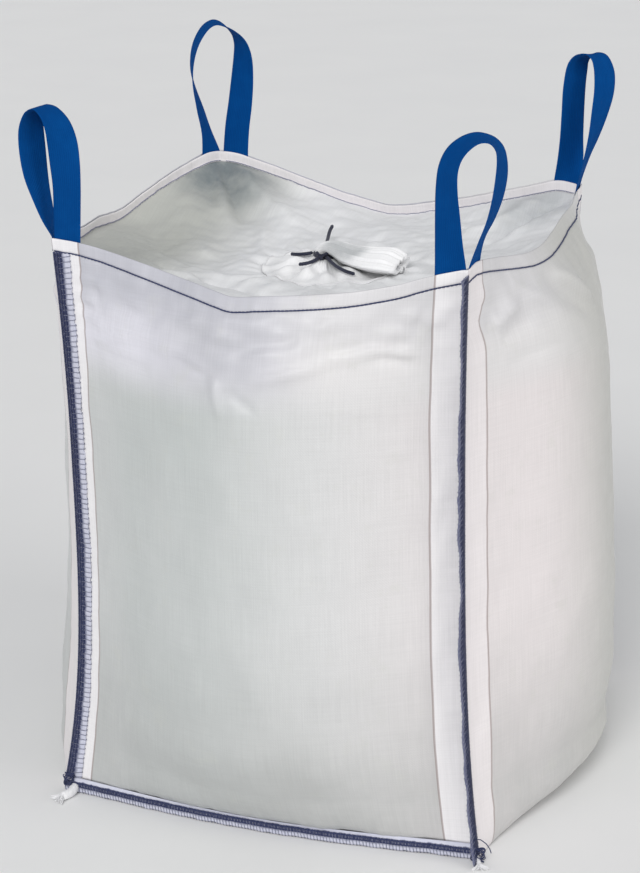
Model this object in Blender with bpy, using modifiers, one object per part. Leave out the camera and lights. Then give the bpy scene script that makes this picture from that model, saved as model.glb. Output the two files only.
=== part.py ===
# Bulk bag of grit: a filled woven bag standing on the floor, sewn from a U-shaped
# panel (left side, base and right side in one piece) and a front and a back panel,
# with four webbing lifting loops and a tied filling spout in its sunken top.
# Metres, +Z up. The origin is the middle of the base at floor level; -Y is the front.

import math

import bpy
import bmesh
from mathutils import Vector

# The bag's outer form
bag_height = 1.215          # floor to the top of the corners
base_half = 0.471           # half the distance between corner seams at the floor
waist_half = 0.424          # the same where the seams are pulled in most
top_half = 0.434            # the same at the rim
waist_height = 0.80
base_flare_power = 3.3      # how quickly the corner seams turn out towards the floor
panel_bulge_at = (          # height, how far a panel's middle stands out of its corners
    (0.120, 0.145), (0.250, 0.180), (0.550, 0.185),
    (0.950, 0.164), (1.100, 0.114), (1.215, 0.036),
)
left_bulge_at = (           # the same on the left side, which is fuller at the top and bottom
    (0.120, 0.171), (0.250, 0.182), (0.550, 0.167),
    (0.950, 0.148), (1.100, 0.140), (1.215, 0.090),
)
bulge_power = {"front": 1.45, "right": 1.45, "back": 1.45, "left": 1.0}   # 1 is a parabola
bottom_radius = 0.078       # left and right sides round under into the base
front_bulge_at_seam = 0.034 # front and back at their bottom seam
front_turn_height = 0.180   # height over which they swell from it to the full bulge
seam_lift = 0.028           # bottom seam's root above the floor
rim_sag = {"front": 0.053, "back": 0.110, "left": 0.061, "right": 0.029}
slumped_corner = Vector((1, 1, 0))  # the back right corner stands lower than the rest
slump = 0.018
slump_from = 0.90           # height above which it tells

# Cloth, seams and webbing
cloth = 0.0018              # woven sheet, thicker than the real 0.5 mm
clearance = 0.0004          # left between neighbouring pieces
edge_setback = 0.0020       # a panel's cut edge from the corner line
seam_width = 0.038
seam_thick = 0.004
seam_root_gap = 0.0006      # from the corner line to a seam that stands out
fold_gap = 0.0008           # under a seam folded flat onto its panel
base_seam_setback = 0.010   # the base seams stop this far short of the corner seams
web_width = 0.060
web_thick = 0.0024
web_from_corner = 0.035     # middle of a loop's leg from the corner seam
leg_length = 0.235          # sewn inside the wall, below the rim
hem_depth = 0.030           # rim fold down to its stitching

# Lifting loops above the rim, from the front or back wall's leg to the side wall's: the
# webbing's middle from the corner's top, and the direction across it to its corner edge
loop_stations = {
    "fl": (
        (0.038, 0.001, 0.061, -1.00, 0.01, 0.04), (0.040, 0.002, 0.113, -1.00, -0.07, -0.00),
        (0.038, 0.004, 0.160, -0.95, -0.31, -0.04), (0.034, 0.006, 0.200, -0.76, -0.64, -0.11),
        (0.026, 0.006, 0.233, -0.46, -0.86, -0.21), (0.012, 0.004, 0.257, -0.12, -0.97, -0.22),
        (-0.003, 0.001, 0.269, 0.04, -1.00, -0.04), (-0.012, -0.001, 0.268, -0.01, -1.00, 0.09),
        (-0.021, -0.003, 0.257, -0.21, -0.97, 0.13), (-0.029, -0.002, 0.228, -0.45, -0.89, 0.00),
        (-0.032, 0.004, 0.183, -0.53, -0.84, -0.10), (-0.031, 0.010, 0.136, -0.41, -0.90, -0.17),
        (-0.026, 0.018, 0.091, -0.15, -0.97, -0.18), (-0.018, 0.025, 0.047, 0.07, -0.98, -0.16),
    ),
    "fr": (
        (-0.037, -0.005, 0.056, 0.97, -0.23, 0.01), (-0.038, -0.009, 0.106, 0.93, -0.37, -0.00),
        (-0.039, -0.011, 0.153, 0.87, -0.50, -0.03), (-0.036, -0.011, 0.193, 0.80, -0.59, -0.12),
        (-0.026, -0.007, 0.221, 0.69, -0.69, -0.22), (-0.009, -0.000, 0.240, 0.55, -0.80, -0.24),
        (0.012, 0.009, 0.251, 0.44, -0.88, -0.17), (0.031, 0.018, 0.249, 0.37, -0.92, -0.13),
        (0.045, 0.025, 0.237, 0.22, -0.96, -0.17), (0.052, 0.030, 0.216, 0.01, -0.99, -0.15),
        (0.052, 0.034, 0.179, -0.12, -0.99, -0.07), (0.045, 0.036, 0.136, -0.11, -0.99, -0.01),
        (0.032, 0.037, 0.094, -0.03, -1.00, 0.02), (0.013, 0.035, 0.050, 0.05, -1.00, 0.00),
    ),
    "br": (
        (-0.029, 0.003, 0.050, 0.84, 0.53, -0.08), (-0.027, 0.003, 0.101, 0.70, 0.71, -0.02),
        (-0.025, 0.002, 0.158, 0.66, 0.75, 0.01), (-0.022, -0.001, 0.215, 0.65, 0.76, -0.01),
        (-0.016, -0.002, 0.258, 0.56, 0.80, -0.21), (-0.007, -0.001, 0.276, 0.28, 0.88, -0.37),
        (0.007, 0.002, 0.284, 0.01, 0.97, -0.23), (0.021, 0.006, 0.283, 0.03, 0.99, 0.09),
        (0.034, 0.008, 0.271, 0.31, 0.92, 0.23), (0.043, 0.008, 0.243, 0.55, 0.84, 0.05),
        (0.044, 0.003, 0.205, 0.54, 0.82, -0.17), (0.037, -0.006, 0.158, 0.38, 0.89, -0.25),
        (0.027, -0.016, 0.109, 0.15, 0.96, -0.24), (0.014, -0.026, 0.060, -0.04, 0.99, -0.17),
    ),
    "bl": (
        (0.039, 0.005, 0.064, -0.99, -0.03, 0.11), (0.046, 0.011, 0.120, -0.99, 0.03, 0.10),
        (0.051, 0.016, 0.176, -0.99, 0.16, 0.05), (0.053, 0.018, 0.227, -0.93, 0.37, -0.03),
        (0.048, 0.016, 0.262, -0.77, 0.61, -0.16), (0.033, 0.010, 0.287, -0.56, 0.82, -0.15),
        (0.008, -0.001, 0.306, -0.43, 0.90, 0.01), (-0.010, -0.009, 0.307, -0.47, 0.88, 0.11),
        (-0.029, -0.018, 0.290, -0.55, 0.82, 0.11), (-0.046, -0.027, 0.255, -0.58, 0.82, 0.01),
        (-0.053, -0.034, 0.211, -0.51, 0.86, -0.07), (-0.049, -0.037, 0.169, -0.37, 0.93, -0.10),
        (-0.035, -0.038, 0.115, -0.17, 0.98, -0.06), (-0.021, -0.038, 0.061, -0.05, 1.00, 0.00),
    ),
}

# Top panel and its spout
dish_centre = 1.085         # height of the top panel in the middle
dish_power = 2.2
skirt_blend = (0.070, 0.112)  # the top panel steps in behind the webbing, then meets the wall
spout_radius = 0.150        # circle where the spout is sewn into the top panel
neck = Vector((-0.015, 0.0, 1.112))
neck_radius = 0.020
tie_radius = 0.003
hole_gap = 0.0020           # the spout's circle and the panel's faceted hole
pleats = 14
pleat_height = 0.006

# Grit
fill_edge = 1.030           # level of the grit at the walls
fill_centre = dish_centre - cloth - 2 * clearance
fill_gap = 0.003            # the core stands this far in from the webbing's legs
fill_low_rows = (0.020, 0.045, 0.080)
fill_low_inset = 0.012      # extra room where the walls turn under

# Free ends of the tie, lying on the cloth: hand-chosen x, y from the knot outwards
tie_end_radius = 0.004
tie_ends = {
    "back": (
        (-0.0235, 0.0260), (-0.030, 0.044), (-0.038, 0.068), (-0.047, 0.095),
        (-0.056, 0.123), (-0.064, 0.152), (-0.070, 0.178), (-0.072, 0.200),
    ),
    "left": ((-0.0417, -0.0030), (-0.056, -0.005), (-0.070, -0.003), (-0.084, 0.003), (-0.097, 0.011)),
    "right": (
        (-0.0030, -0.0250), (0.010, -0.040), (0.026, -0.056), (0.044, -0.070),
        (0.063, -0.081), (0.083, -0.088),
    ),
    "front": ((-0.0169, -0.0269), (-0.019, -0.042), (-0.025, -0.055), (-0.036, -0.065), (-0.049, -0.070)),
}

# Grid lines that neighbouring sheets share: distance from a corner, and height
columns_from_corner = (edge_setback, 0.005, 0.025, 0.045, 0.065, 0.120, 0.210, 0.315)
skirt_from_corner = 0.008   # the top panel's first column, inside the two legs of a loop
row_heights = (
    seam_lift, 0.055, 0.085, 0.120, 0.180, 0.270, 0.400, 0.560, 0.720,
    0.860, 0.980, 1.060, 1.120, 1.160, 1.185, 1.202, bag_height,
)
round_steps = 5             # rows in the turn from a side into the base
base_strips = (0.90, 0.72, 0.48, 0.24)   # rows of the base, as shares of its half width

sides = {                   # name: (direction along the wall, outward direction)
    "front": (Vector((1, 0, 0)), Vector((0, -1, 0))),
    "right": (Vector((0, 1, 0)), Vector((1, 0, 0))),
    "back": (Vector((-1, 0, 0)), Vector((0, 1, 0))),
    "left": (Vector((0, -1, 0)), Vector((-1, 0, 0))),
}
corners = {                 # name: (front or back panel, side panel)
    "fl": ("front", "left"), "fr": ("front", "right"),
    "br": ("back", "right"), "bl": ("back", "left"),
}
up = Vector((0, 0, 1))


def clear_scene():
    for item in list(bpy.data.objects):
        bpy.data.objects.remove(item, do_unlink=True)


def material(name, colour, roughness, metallic=0.0):
    made = bpy.data.materials.new(name)
    made.use_nodes = True
    shader = made.node_tree.nodes["Principled BSDF"]
    shader.inputs["Base Color"].default_value = (*colour, 1.0)
    shader.inputs["Roughness"].default_value = roughness
    shader.inputs["Metallic"].default_value = metallic
    return made


def smooth_through(pairs, x):
    """A smooth curve through (x, value) pairs, level beyond both ends."""
    if x <= pairs[0][0]:
        return pairs[0][1]
    if x >= pairs[-1][0]:
        return pairs[-1][1]
    k = max(i for i in range(len(pairs) - 1) if pairs[i][0] <= x)
    (x0, y0), (x1, y1) = pairs[k], pairs[k + 1]
    before = pairs[max(k - 1, 0)]
    after = pairs[min(k + 2, len(pairs) - 1)]
    slope0 = (y1 - before[1]) / (x1 - before[0])
    slope1 = (after[1] - y0) / (after[0] - x0)
    w, t = x1 - x0, (x - x0) / (x1 - x0)
    return (
        (2 * t**3 - 3 * t**2 + 1) * y0 + (t**3 - 2 * t**2 + t) * w * slope0
        + (3 * t**2 - 2 * t**3) * y1 + (t**3 - t**2) * w * slope1
    )


def ease(x):
    x = min(max(x, 0.0), 1.0)
    return x * x * (3 - 2 * x)


def quarter_round(x):
    x = min(max(x, 0.0), 1.0)
    return math.sqrt(1 - (1 - x) ** 2)


def corner_half(z):
    """Half the distance between two corner seams at height z."""
    if z < waist_height:
        flare = (1 - z / waist_height) ** base_flare_power
        return waist_half + (base_half - waist_half) * flare
    rise = (z - waist_height) / (bag_height - waist_height)
    return waist_half + (top_half - waist_half) * rise**2


def bulge(side, z):
    """How far the middle of a side stands out of the line between its corners."""
    full = smooth_through(left_bulge_at if side == "left" else panel_bulge_at, z)
    if side in ("left", "right"):
        return full * quarter_round(z / bottom_radius)
    swell = quarter_round((z - seam_lift) / front_turn_height) ** 1.5
    return front_bulge_at_seam + (full - front_bulge_at_seam) * swell


def slumped(point):
    """Lowers the top of the bag towards the corner that stands lower."""
    nearness = min(point.x * slumped_corner.x, point.y * slumped_corner.y) / top_half
    height = ease((point.z - slump_from) / (bag_height - slump_from))
    return point - up * slump * ease((nearness - 0.2) / 0.6) * height


def wall_point(side, s, z):
    """Outer face of a wall; s runs from 0 to 1 between its corners."""
    along, out = sides[side]
    half = corner_half(z)
    across = 2 * s - 1
    reach = half + bulge(side, z) * (1 - across**2) ** bulge_power[side]
    return slumped(along * across * half + out * reach + up * z)


def wall_normal(side, s, z):
    step = 0.002
    along = wall_point(side, min(s + step, 1), z) - wall_point(side, max(s - step, 0), z)
    rise = wall_point(side, s, z + step) - wall_point(side, s, z - step)
    return along.cross(rise).normalized()


def rim_height(side, s):
    """The rim is level over the webbing and sags between the loops."""
    from_corner = min(s, 1 - s) * 2 * top_half
    level = web_from_corner + 0.5 * web_width + 0.008
    share = max(from_corner - level, 0) / (top_half - level)
    return bag_height - rim_sag[side] * math.sin(0.5 * math.pi * share)


def column_shares(columns=columns_from_corner):
    """Where a wall's columns stand, as shares of its width."""
    left = [a / (2 * top_half) for a in columns]
    return left + [0.5] + [1 - s for s in reversed(left)]


def wall_row(side, s, row):
    """Height of a row at a column: rows crowd together under the sagging rim."""
    squeeze = (rim_height(side, s) - seam_lift) / (bag_height - seam_lift)
    return seam_lift + (row_heights[row] - seam_lift) * squeeze


def inside(side, s, z, depth):
    return wall_point(side, s, z) - wall_normal(side, s, z) * depth


def add_object(name, mesh_data, colour, smooth=True):
    mesh = bpy.data.meshes.new(name)
    mesh_data.to_mesh(mesh)
    mesh_data.free()
    item = bpy.data.objects.new(name, mesh)
    item.data.materials.append(colour)
    parts.objects.link(item)
    for face in mesh.polygons:
        face.use_smooth = smooth
    return item


def solidify(item, thickness, offset):
    shell = item.modifiers.new("Thickness", "SOLIDIFY")
    shell.thickness = thickness
    shell.offset = offset
    split_quads(item)
    return item


def split_quads(item):
    """Splits twisted quads the same way on neighbouring sheets, so that they stay parallel."""
    split = item.modifiers.new("Split quads", "TRIANGULATE")
    split.quad_method = "SHORTEST_DIAGONAL"
    split.min_vertices = 4


def sheet(name, points, outward, thickness, offset, colour):
    """A cloth sheet from a grid of points, thickened; outward is a rough outward direction
    at the middle of the grid. Offset -1 thickens inwards, 1 outwards and 0 both ways."""
    columns, rows = len(points), len(points[0])
    grid = bmesh.new()
    bmesh.ops.create_grid(grid, x_segments=columns - 1, y_segments=rows - 1, size=0.5)
    for vert in grid.verts:
        i = round((vert.co.x + 0.5) * (columns - 1))
        j = round((vert.co.y + 0.5) * (rows - 1))
        vert.co = points[i][j]
    middle = points[columns // 2][rows // 2]
    nearest = min(grid.faces, key=lambda face: (face.calc_center_median() - middle).length)
    grid.normal_update()
    if nearest.normal.dot(outward) < 0:
        bmesh.ops.reverse_faces(grid, faces=grid.faces)
    return solidify(add_object(name, grid, colour), thickness, offset)


def loft(rings, closed_ends):
    """Quads between rings of equal count; the ends are closed by flat faces."""
    lofted = bmesh.new()
    verts = [[lofted.verts.new(point) for point in ring] for ring in rings]
    count = len(rings[0])
    for lower, upper in zip(verts, verts[1:]):
        for k in range(count):
            n = (k + 1) % count
            lofted.faces.new((lower[k], lower[n], upper[n], upper[k]))
    if closed_ends:
        lofted.faces.new(list(reversed(verts[0])))
        lofted.faces.new(verts[-1])
        bmesh.ops.recalc_face_normals(lofted, faces=lofted.faces)
    return lofted


def front_or_back_panel(side, colour):
    shares = column_shares()
    points = [
        [wall_point(side, s, wall_row(side, s, row)) for row in range(len(row_heights))]
        for s in shares
    ]
    for column in points:
        column[0] = column[0] + up * edge_setback
    return sheet(side + "_panel", points, sides[side][1], cloth, -1, colour)


def base_edge(x):
    """How far the base reaches towards the front or back at x."""
    return base_half + front_bulge_at_seam * (1 - (x / base_half) ** 2) ** bulge_power["front"]


def base_rows(*outermost):
    """Shares of the base's half width, from its left to its right."""
    shares = outermost + base_strips
    return [-share for share in shares] + [0.0] + list(reversed(shares))


def u_panel(colour):
    """Left side, base and right side in one sheet. Columns run from front to back."""
    shares = column_shares()
    lift = {0: seam_lift - edge_setback, 1: 0.006}
    points = []
    for i, s in enumerate(shares):
        edge = min(i, len(shares) - 1 - i)
        floor_lift = lift.get(edge, 0.0)
        halves = {}
        for side in ("left", "right"):
            along_share = s if side == "right" else 1 - s
            wall = [
                wall_point(side, along_share, wall_row(side, along_share, row))
                for row in range(3, len(row_heights))
            ]
            turn = []
            for step in range(1, round_steps + 1):
                angle = 0.5 * math.pi * step / (round_steps + 1)
                z = floor_lift + (bottom_radius - floor_lift) * (1 - math.sin(angle))
                turn.append(wall_point(side, along_share, z))
            halves[side] = (wall, turn)
        across = 2 * s - 1
        base = []
        for share in reversed(base_rows()):
            x = share * base_half
            base.append(Vector((x, across * base_edge(x), floor_lift)))
        right_wall, right_turn = halves["right"]
        left_wall, left_turn = halves["left"]
        points.append(
            list(reversed(right_wall)) + right_turn + base
            + list(reversed(left_turn)) + left_wall
        )
    return sheet("u_panel", points, Vector((0, 0, -1)), cloth, -1, colour)


def once_round(shares):
    """(side, share) pairs once round the bag, anticlockwise seen from above."""
    return [(side, s) for side in ("front", "right", "back", "left") for s in shares]


def grit_fill(colour):
    """The hidden contents as one plain core, just inside the webbing."""
    depth = cloth + web_thick + fill_gap
    around = once_round(column_shares(columns_from_corner[2::2]))
    floor = cloth + clearance
    rings = []
    for z in fill_low_rows + row_heights[3:11] + (fill_edge,):
        inset = depth if z >= row_heights[3] else depth + fill_low_inset
        rings.append([inside(side, s, z, inset) for side, s in around])
    rings.insert(0, [Vector((p.x * 0.76, p.y * 0.76, floor)) for p in rings[0]])
    rim_ring = rings[-1]
    for share in (0.85, 0.6, 0.3):
        level = fill_centre + (fill_edge - fill_centre) * share**2
        rings.append([Vector((p.x * share, p.y * share, level)) for p in rim_ring])
    core = add_object("grit_fill", loft(rings, closed_ends=True), colour)
    split_quads(core)
    return core


def dish_height(edge_height, share):
    """Height of the top panel between the spout circle (0) and the hem stitching (1)."""
    return dish_centre + (edge_height - dish_centre) * share**dish_power


def top_panel(colour):
    """Sunken top: a skirt sewn inside the rim, then a shallow dish with the spout's hole."""
    around = once_round(column_shares((skirt_from_corner,) + columns_from_corner[2:]))
    behind_web = cloth + web_thick + 2 * clearance
    beside_web = cloth + 2 * clearance
    rings = []

    def skirt_depth(s):
        from_corner = min(s, 1 - s) * 2 * top_half
        start, end = skirt_blend
        return behind_web + (beside_web - behind_web) * ease((from_corner - start) / (end - start))

    for drop in (0.004, 0.5 * hem_depth, hem_depth):
        rings.append([
            inside(side, s, rim_height(side, s) - drop, skirt_depth(s)) for side, s in around
        ])
    edges = rings[-1]
    for share in (0.95, 0.85, 0.68, 0.46, 0.22, 0.0):
        ring = []
        for edge in edges:
            flat = Vector((edge.x, edge.y, 0))
            hole = flat.normalized() * (spout_radius + hole_gap)
            place = hole + (flat - hole) * share
            place.z = dish_height(edge.z, share)
            ring.append(place)
        rings.append(ring)
    panel = add_object("top_panel", loft(list(reversed(rings)), closed_ends=False), colour)
    return solidify(panel, cloth, -1)


def lift_loop(corner, colour):
    """One webbing loop: a leg inside each of the two walls, and the free loop between."""
    first, second = corners[corner]
    out = (sides[first][1], sides[second][1])
    inward = (-out[1], -out[0])
    corner_top = slumped((out[0] + out[1]) * top_half + up * bag_height)
    offsets = [web_from_corner - a for a in columns_from_corner[1:5]]
    depth = cloth + clearance + 0.5 * web_thick
    leg_rows = [z for z in row_heights if z >= bag_height - leg_length - 0.001]

    def leg_point(leg, offset, z):
        side = (first, second)[leg]
        share = (web_from_corner - offset) / (2 * top_half)
        if sides[side][0].dot(inward[leg]) < 0:
            share = 1 - share
        return inside(side, share, z, depth)

    rows = [[leg_point(0, offset, z) for offset in offsets] for z in leg_rows]
    for x, y, z, to_x, to_y, to_z in loop_stations[corner]:
        middle = corner_top + Vector((x, y, z))
        to_corner_edge = Vector((to_x, to_y, to_z)).normalized()
        rows.append([middle + to_corner_edge * offset for offset in offsets])
    rows += [[leg_point(1, offset, z) for offset in offsets] for z in reversed(leg_rows)]
    return sheet("lift_loop_" + corner, rows, up, web_thick, 0, colour)


def corner_seam(corner, colour):
    """The two panels' sewn edges, standing out of the corner or folded onto a panel."""
    first, second = corners[corner]
    out = sides[first][1] + sides[second][1]
    spreads = (0.0, 0.5, 1.0)
    if corner in folded_seams:
        rows = row_heights[1:-1] + (bag_height - 0.004,)
        starts_low = sides[first][0].dot(-sides[second][1]) > 0

        def place(spread, z):
            share = (0.0006 + spread * seam_width) / (2 * corner_half(z))
            share = share if starts_low else 1 - share
            return inside(first, share, z, -fold_gap)

        points = [[place(spread, z) for z in rows] for spread in spreads]
        return sheet("corner_seam_" + corner, points, sides[first][1], seam_thick, 1, colour)
    rows = (0.001,) + row_heights[:-1] + (bag_height - 0.004,)
    lean = seam_lean[corner]
    heading = (sides[first][1] * lean + sides[second][1] * (1 - lean)).normalized()
    points = []
    for spread in spreads:
        reach = seam_root_gap + spread * seam_width
        points.append([slumped(out * corner_half(z) + up * z) + heading * reach for z in rows])
    face = heading.cross(up)
    return sheet("corner_seam_" + corner, points, face, seam_thick, 0, colour)


def base_seam(side, colour):
    """Seam between the front or back panel and the base, hanging to the floor."""
    along, out = sides[side]
    cut_edge = 1 - edge_setback / top_half
    end = 1 - base_seam_setback / base_half
    points = []
    for share in base_rows(end):
        x = share * base_half
        reach = base_edge(x) * cut_edge + clearance
        points.append([
            along * x + out * (reach + lean) + up * z
            for lean, z in ((0.0022, 0.0008), (0.0008, 0.5 * seam_lift), (0.0, seam_lift - 0.001))
        ])
    return sheet("base_seam_" + side, points, out, seam_thick, 1, colour)


def rosette_height(x, y):
    """Top of the gathered cloth between the spout's seam circle and its neck."""
    share = min(math.hypot(x - neck.x, y - neck.y) / spout_radius, 1.0)
    rise = neck.z - 0.004 - dish_centre
    return dish_centre + rise * (1 - share) ** 1.6


def fill_spout(colour):
    """Cloth gathered from the seam circle up to the neck, then flopped to the right."""
    count = 4 * pleats
    rings = []
    for share in (1.0, 0.86, 0.66, 0.44, 0.27):
        ring = []
        for k in range(count):
            angle = 2 * math.pi * k / count
            reach = spout_radius * share
            x, y = reach * math.cos(angle), reach * math.sin(angle)
            x, y = x + neck.x * (1 - share), y
            fold = pleat_height * math.sin(pleats * angle) * math.sin(math.pi * share) ** 0.7
            ring.append(Vector((x, y, rosette_height(x, y) + fold + 0.001)))
        rings.append(ring)
    rings.insert(0, [Vector((p.x, p.y, dish_centre - cloth)) for p in rings[0]])
    flopped = (             # along the flopped end: x, z, half width, half thickness, tilt
        (0.000, -0.006, neck_radius, neck_radius, 0),
        (0.000, 0.005, neck_radius, neck_radius, 0),
        (0.006, 0.012, 0.021, 0.019, 25), (0.024, 0.017, 0.027, 0.016, 65),
        (0.056, 0.013, 0.040, 0.013, 98), (0.100, 0.003, 0.052, 0.011, 102),
        (0.140, -0.005, 0.056, 0.009, 100), (0.160, -0.009, 0.052, 0.007, 95),
    )
    for x, z, half_width, half_thick, tilt in flopped:
        turn = math.radians(tilt)
        face = Vector((math.cos(turn), 0, -math.sin(turn)))
        ring = []
        for k in range(count):
            angle = 2 * math.pi * k / count
            fold = 1 + 0.10 * math.sin(0.5 * pleats * angle) * ease(x / 0.05)
            across = Vector((0, 1, 0)) * math.sin(angle) * half_width
            ring.append(neck + Vector((x, 0, z)) + across + face * math.cos(angle) * half_thick * fold)
        rings.append(ring)
    return add_object("fill_spout", loft(rings, closed_ends=True), colour)


def tie_end(name, places, colour):
    """One free end of the tie as a plain tube along a smooth route over the cloth."""
    route = []
    steps_between = 4
    for k in range((len(places) - 1) * steps_between + 1):
        at = k / steps_between
        x = smooth_through([(i, place[0]) for i, place in enumerate(places)], at)
        y = smooth_through([(i, place[1]) for i, place in enumerate(places)], at)
        route.append(Vector((x, y, rosette_height(x, y) + pleat_height + 0.0015 + tie_end_radius)))
    curve = bpy.data.curves.new("tie_end_" + name, "CURVE")
    curve.dimensions = "3D"
    curve.bevel_depth = tie_end_radius
    curve.bevel_resolution = 2
    curve.use_fill_caps = True
    spline = curve.splines.new("POLY")
    spline.points.add(len(route) - 1)
    for point, place in zip(spline.points, route):
        point.co = (*place, 1.0)
    item = bpy.data.objects.new("tie_end_" + name, curve)
    curve.materials.append(colour)
    parts.objects.link(item)
    return item


def spout_tie(colour):
    """Cord wound tight round the neck, with its knot at the front."""
    bpy.ops.mesh.primitive_torus_add(
        major_segments=24, minor_segments=8, major_radius=neck_radius + tie_radius + clearance,
        minor_radius=tie_radius, location=neck,
    )
    ring = bpy.context.object
    for collection in list(ring.users_collection):
        collection.objects.unlink(ring)
    parts.objects.link(ring)
    ring.name = "spout_tie"
    ring.data.name = "spout_tie"
    ring.data.materials.append(colour)
    for face in ring.data.polygons:
        face.use_smooth = True
    return ring


clear_scene()
parts = bpy.data.collections.new("bulk bag of grit")
bpy.context.scene.collection.children.link(parts)

white_cloth = material("white woven cloth", (0.72, 0.74, 0.72), 0.45)
blue_webbing = material("blue webbing", (0.0, 0.058, 0.26), 0.60)
navy_seam = material("navy overlocked seam", (0.16, 0.19, 0.33), 0.75)
navy_cord = material("navy tie cord", (0.020, 0.022, 0.050), 0.70)
grey_grit = material("grey grit", (0.30, 0.29, 0.27), 0.90)

folded_seams = ("fl", "br")
seam_lean = {"fr": 1.0, "bl": 0.50}   # 1 points straight out of the front or back panel

u_panel(white_cloth)
front_or_back_panel("front", white_cloth)
front_or_back_panel("back", white_cloth)
top_panel(white_cloth)
fill_spout(white_cloth)
spout_tie(navy_cord)
for end_name, end_places in tie_ends.items():
    tie_end(end_name, end_places, navy_cord)
grit_fill(grey_grit)
for corner_name in corners:
    lift_loop(corner_name, blue_webbing)
    corner_seam(corner_name, navy_seam)
for side_name in ("front", "back"):
    base_seam(side_name, navy_seam)
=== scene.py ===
# Bulk bag of grit: the looks of the bag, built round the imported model.
# Metres, Z up, the front faces -Y, the origin is the middle of the base at floor level.
import math

import bmesh
import bpy
import numpy as np
from mathutils import Matrix, Vector


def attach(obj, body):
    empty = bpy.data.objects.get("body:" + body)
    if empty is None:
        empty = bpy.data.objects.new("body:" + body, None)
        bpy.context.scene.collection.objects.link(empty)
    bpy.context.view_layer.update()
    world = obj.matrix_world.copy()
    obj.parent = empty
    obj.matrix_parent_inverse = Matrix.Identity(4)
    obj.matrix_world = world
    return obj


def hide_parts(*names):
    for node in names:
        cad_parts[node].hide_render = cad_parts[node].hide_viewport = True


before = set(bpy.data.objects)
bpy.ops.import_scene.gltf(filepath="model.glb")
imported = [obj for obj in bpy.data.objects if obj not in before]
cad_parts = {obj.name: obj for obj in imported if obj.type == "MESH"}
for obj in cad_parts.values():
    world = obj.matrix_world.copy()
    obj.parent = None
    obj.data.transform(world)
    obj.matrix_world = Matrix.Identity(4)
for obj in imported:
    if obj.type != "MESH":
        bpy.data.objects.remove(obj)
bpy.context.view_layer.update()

print("frame loaded:", len(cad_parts), "solids")

# The bag's form, with the same values as the solids
bagForm = {
    "height": 1.215,
    "baseHalf": 0.471, "waistHalf": 0.424, "topHalf": 0.434,   # half the way between corner seams
    "waistHeight": 0.80, "basePower": 3.3,
    "sideBulge": (                                             # height, middle of a side out of its corners
        (0.120, 0.145), (0.250, 0.180), (0.550, 0.185), (0.950, 0.164), (1.100, 0.114), (1.215, 0.036),
    ),
    "leftBulge": (
        (0.120, 0.171), (0.250, 0.182), (0.550, 0.167), (0.950, 0.148), (1.100, 0.140), (1.215, 0.090),
    ),
    "bulgePower": {"front": 1.45, "right": 1.45, "back": 1.45, "left": 1.0},
    "bottomRadius": 0.078, "bulgeAtSeam": 0.034, "turnHeight": 0.180, "seamLift": 0.028,
    "slump": 0.018, "slumpFrom": 0.90,
    "cloth": 0.0018, "gap": 0.0004, "webThick": 0.0024,
    "clothWidth": 0.92,                                        # across a side, seam to seam
}
sideWays = {                                                   # along the wall, outwards
    "front": ((1, 0, 0), (0, -1, 0)), "right": ((0, 1, 0), (1, 0, 0)),
    "back": ((-1, 0, 0), (0, 1, 0)), "left": ((0, -1, 0), (-1, 0, 0)),
}
sideWays = {side: np.array(ways, float) for side, ways in sideWays.items()}
cornerSides = {
    "fl": ("front", "left"), "fr": ("front", "right"), "br": ("back", "right"), "bl": ("back", "left"),
}
up = np.array((0.0, 0.0, 1.0))

# Height of the rim along each side, from its first corner (0) to its second (1)
rimShape = {
    "front": (
        (0.0, 1.222), (0.073, 1.218), (0.158, 1.207), (0.272, 1.190), (0.382, 1.172), (0.455, 1.159),
        (0.480, 1.155), (0.500, 1.155), (0.557, 1.159), (0.623, 1.163), (0.678, 1.166), (0.752, 1.172),
        (0.803, 1.179), (0.855, 1.188), (0.897, 1.199), (0.938, 1.209), (0.982, 1.218), (1.0, 1.220),
    ),
    "right": (
        (0.0, 1.220), (0.053, 1.226), (0.157, 1.212), (0.242, 1.199), (0.308, 1.191), (0.397, 1.190),
        (0.483, 1.196), (0.585, 1.202), (0.753, 1.205), (0.968, 1.214), (1.0, 1.214),
    ),
    "back": (
        (0.0, 1.214), (0.060, 1.221), (0.115, 1.209), (0.230, 1.171), (0.355, 1.130), (0.477, 1.105),
        (0.545, 1.097), (0.575, 1.097), (0.603, 1.104), (0.645, 1.117), (0.687, 1.129), (0.778, 1.165),
        (0.868, 1.198), (0.927, 1.217), (0.960, 1.224), (1.0, 1.227),
    ),
    "left": (
        (0.0, 1.227), (0.048, 1.231), (0.078, 1.228), (0.137, 1.216), (0.212, 1.202), (0.292, 1.177),
        (0.372, 1.155), (0.440, 1.154), (0.513, 1.161), (0.608, 1.160), (0.720, 1.175), (0.860, 1.203),
        (0.940, 1.217), (1.0, 1.222),
    ),
}


def ease(x):
    x = np.clip(x, 0.0, 1.0)
    return x * x * (3 - 2 * x)


def quarterRound(x):
    return np.sqrt(1 - (1 - np.clip(x, 0.0, 1.0)) ** 2)


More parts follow.
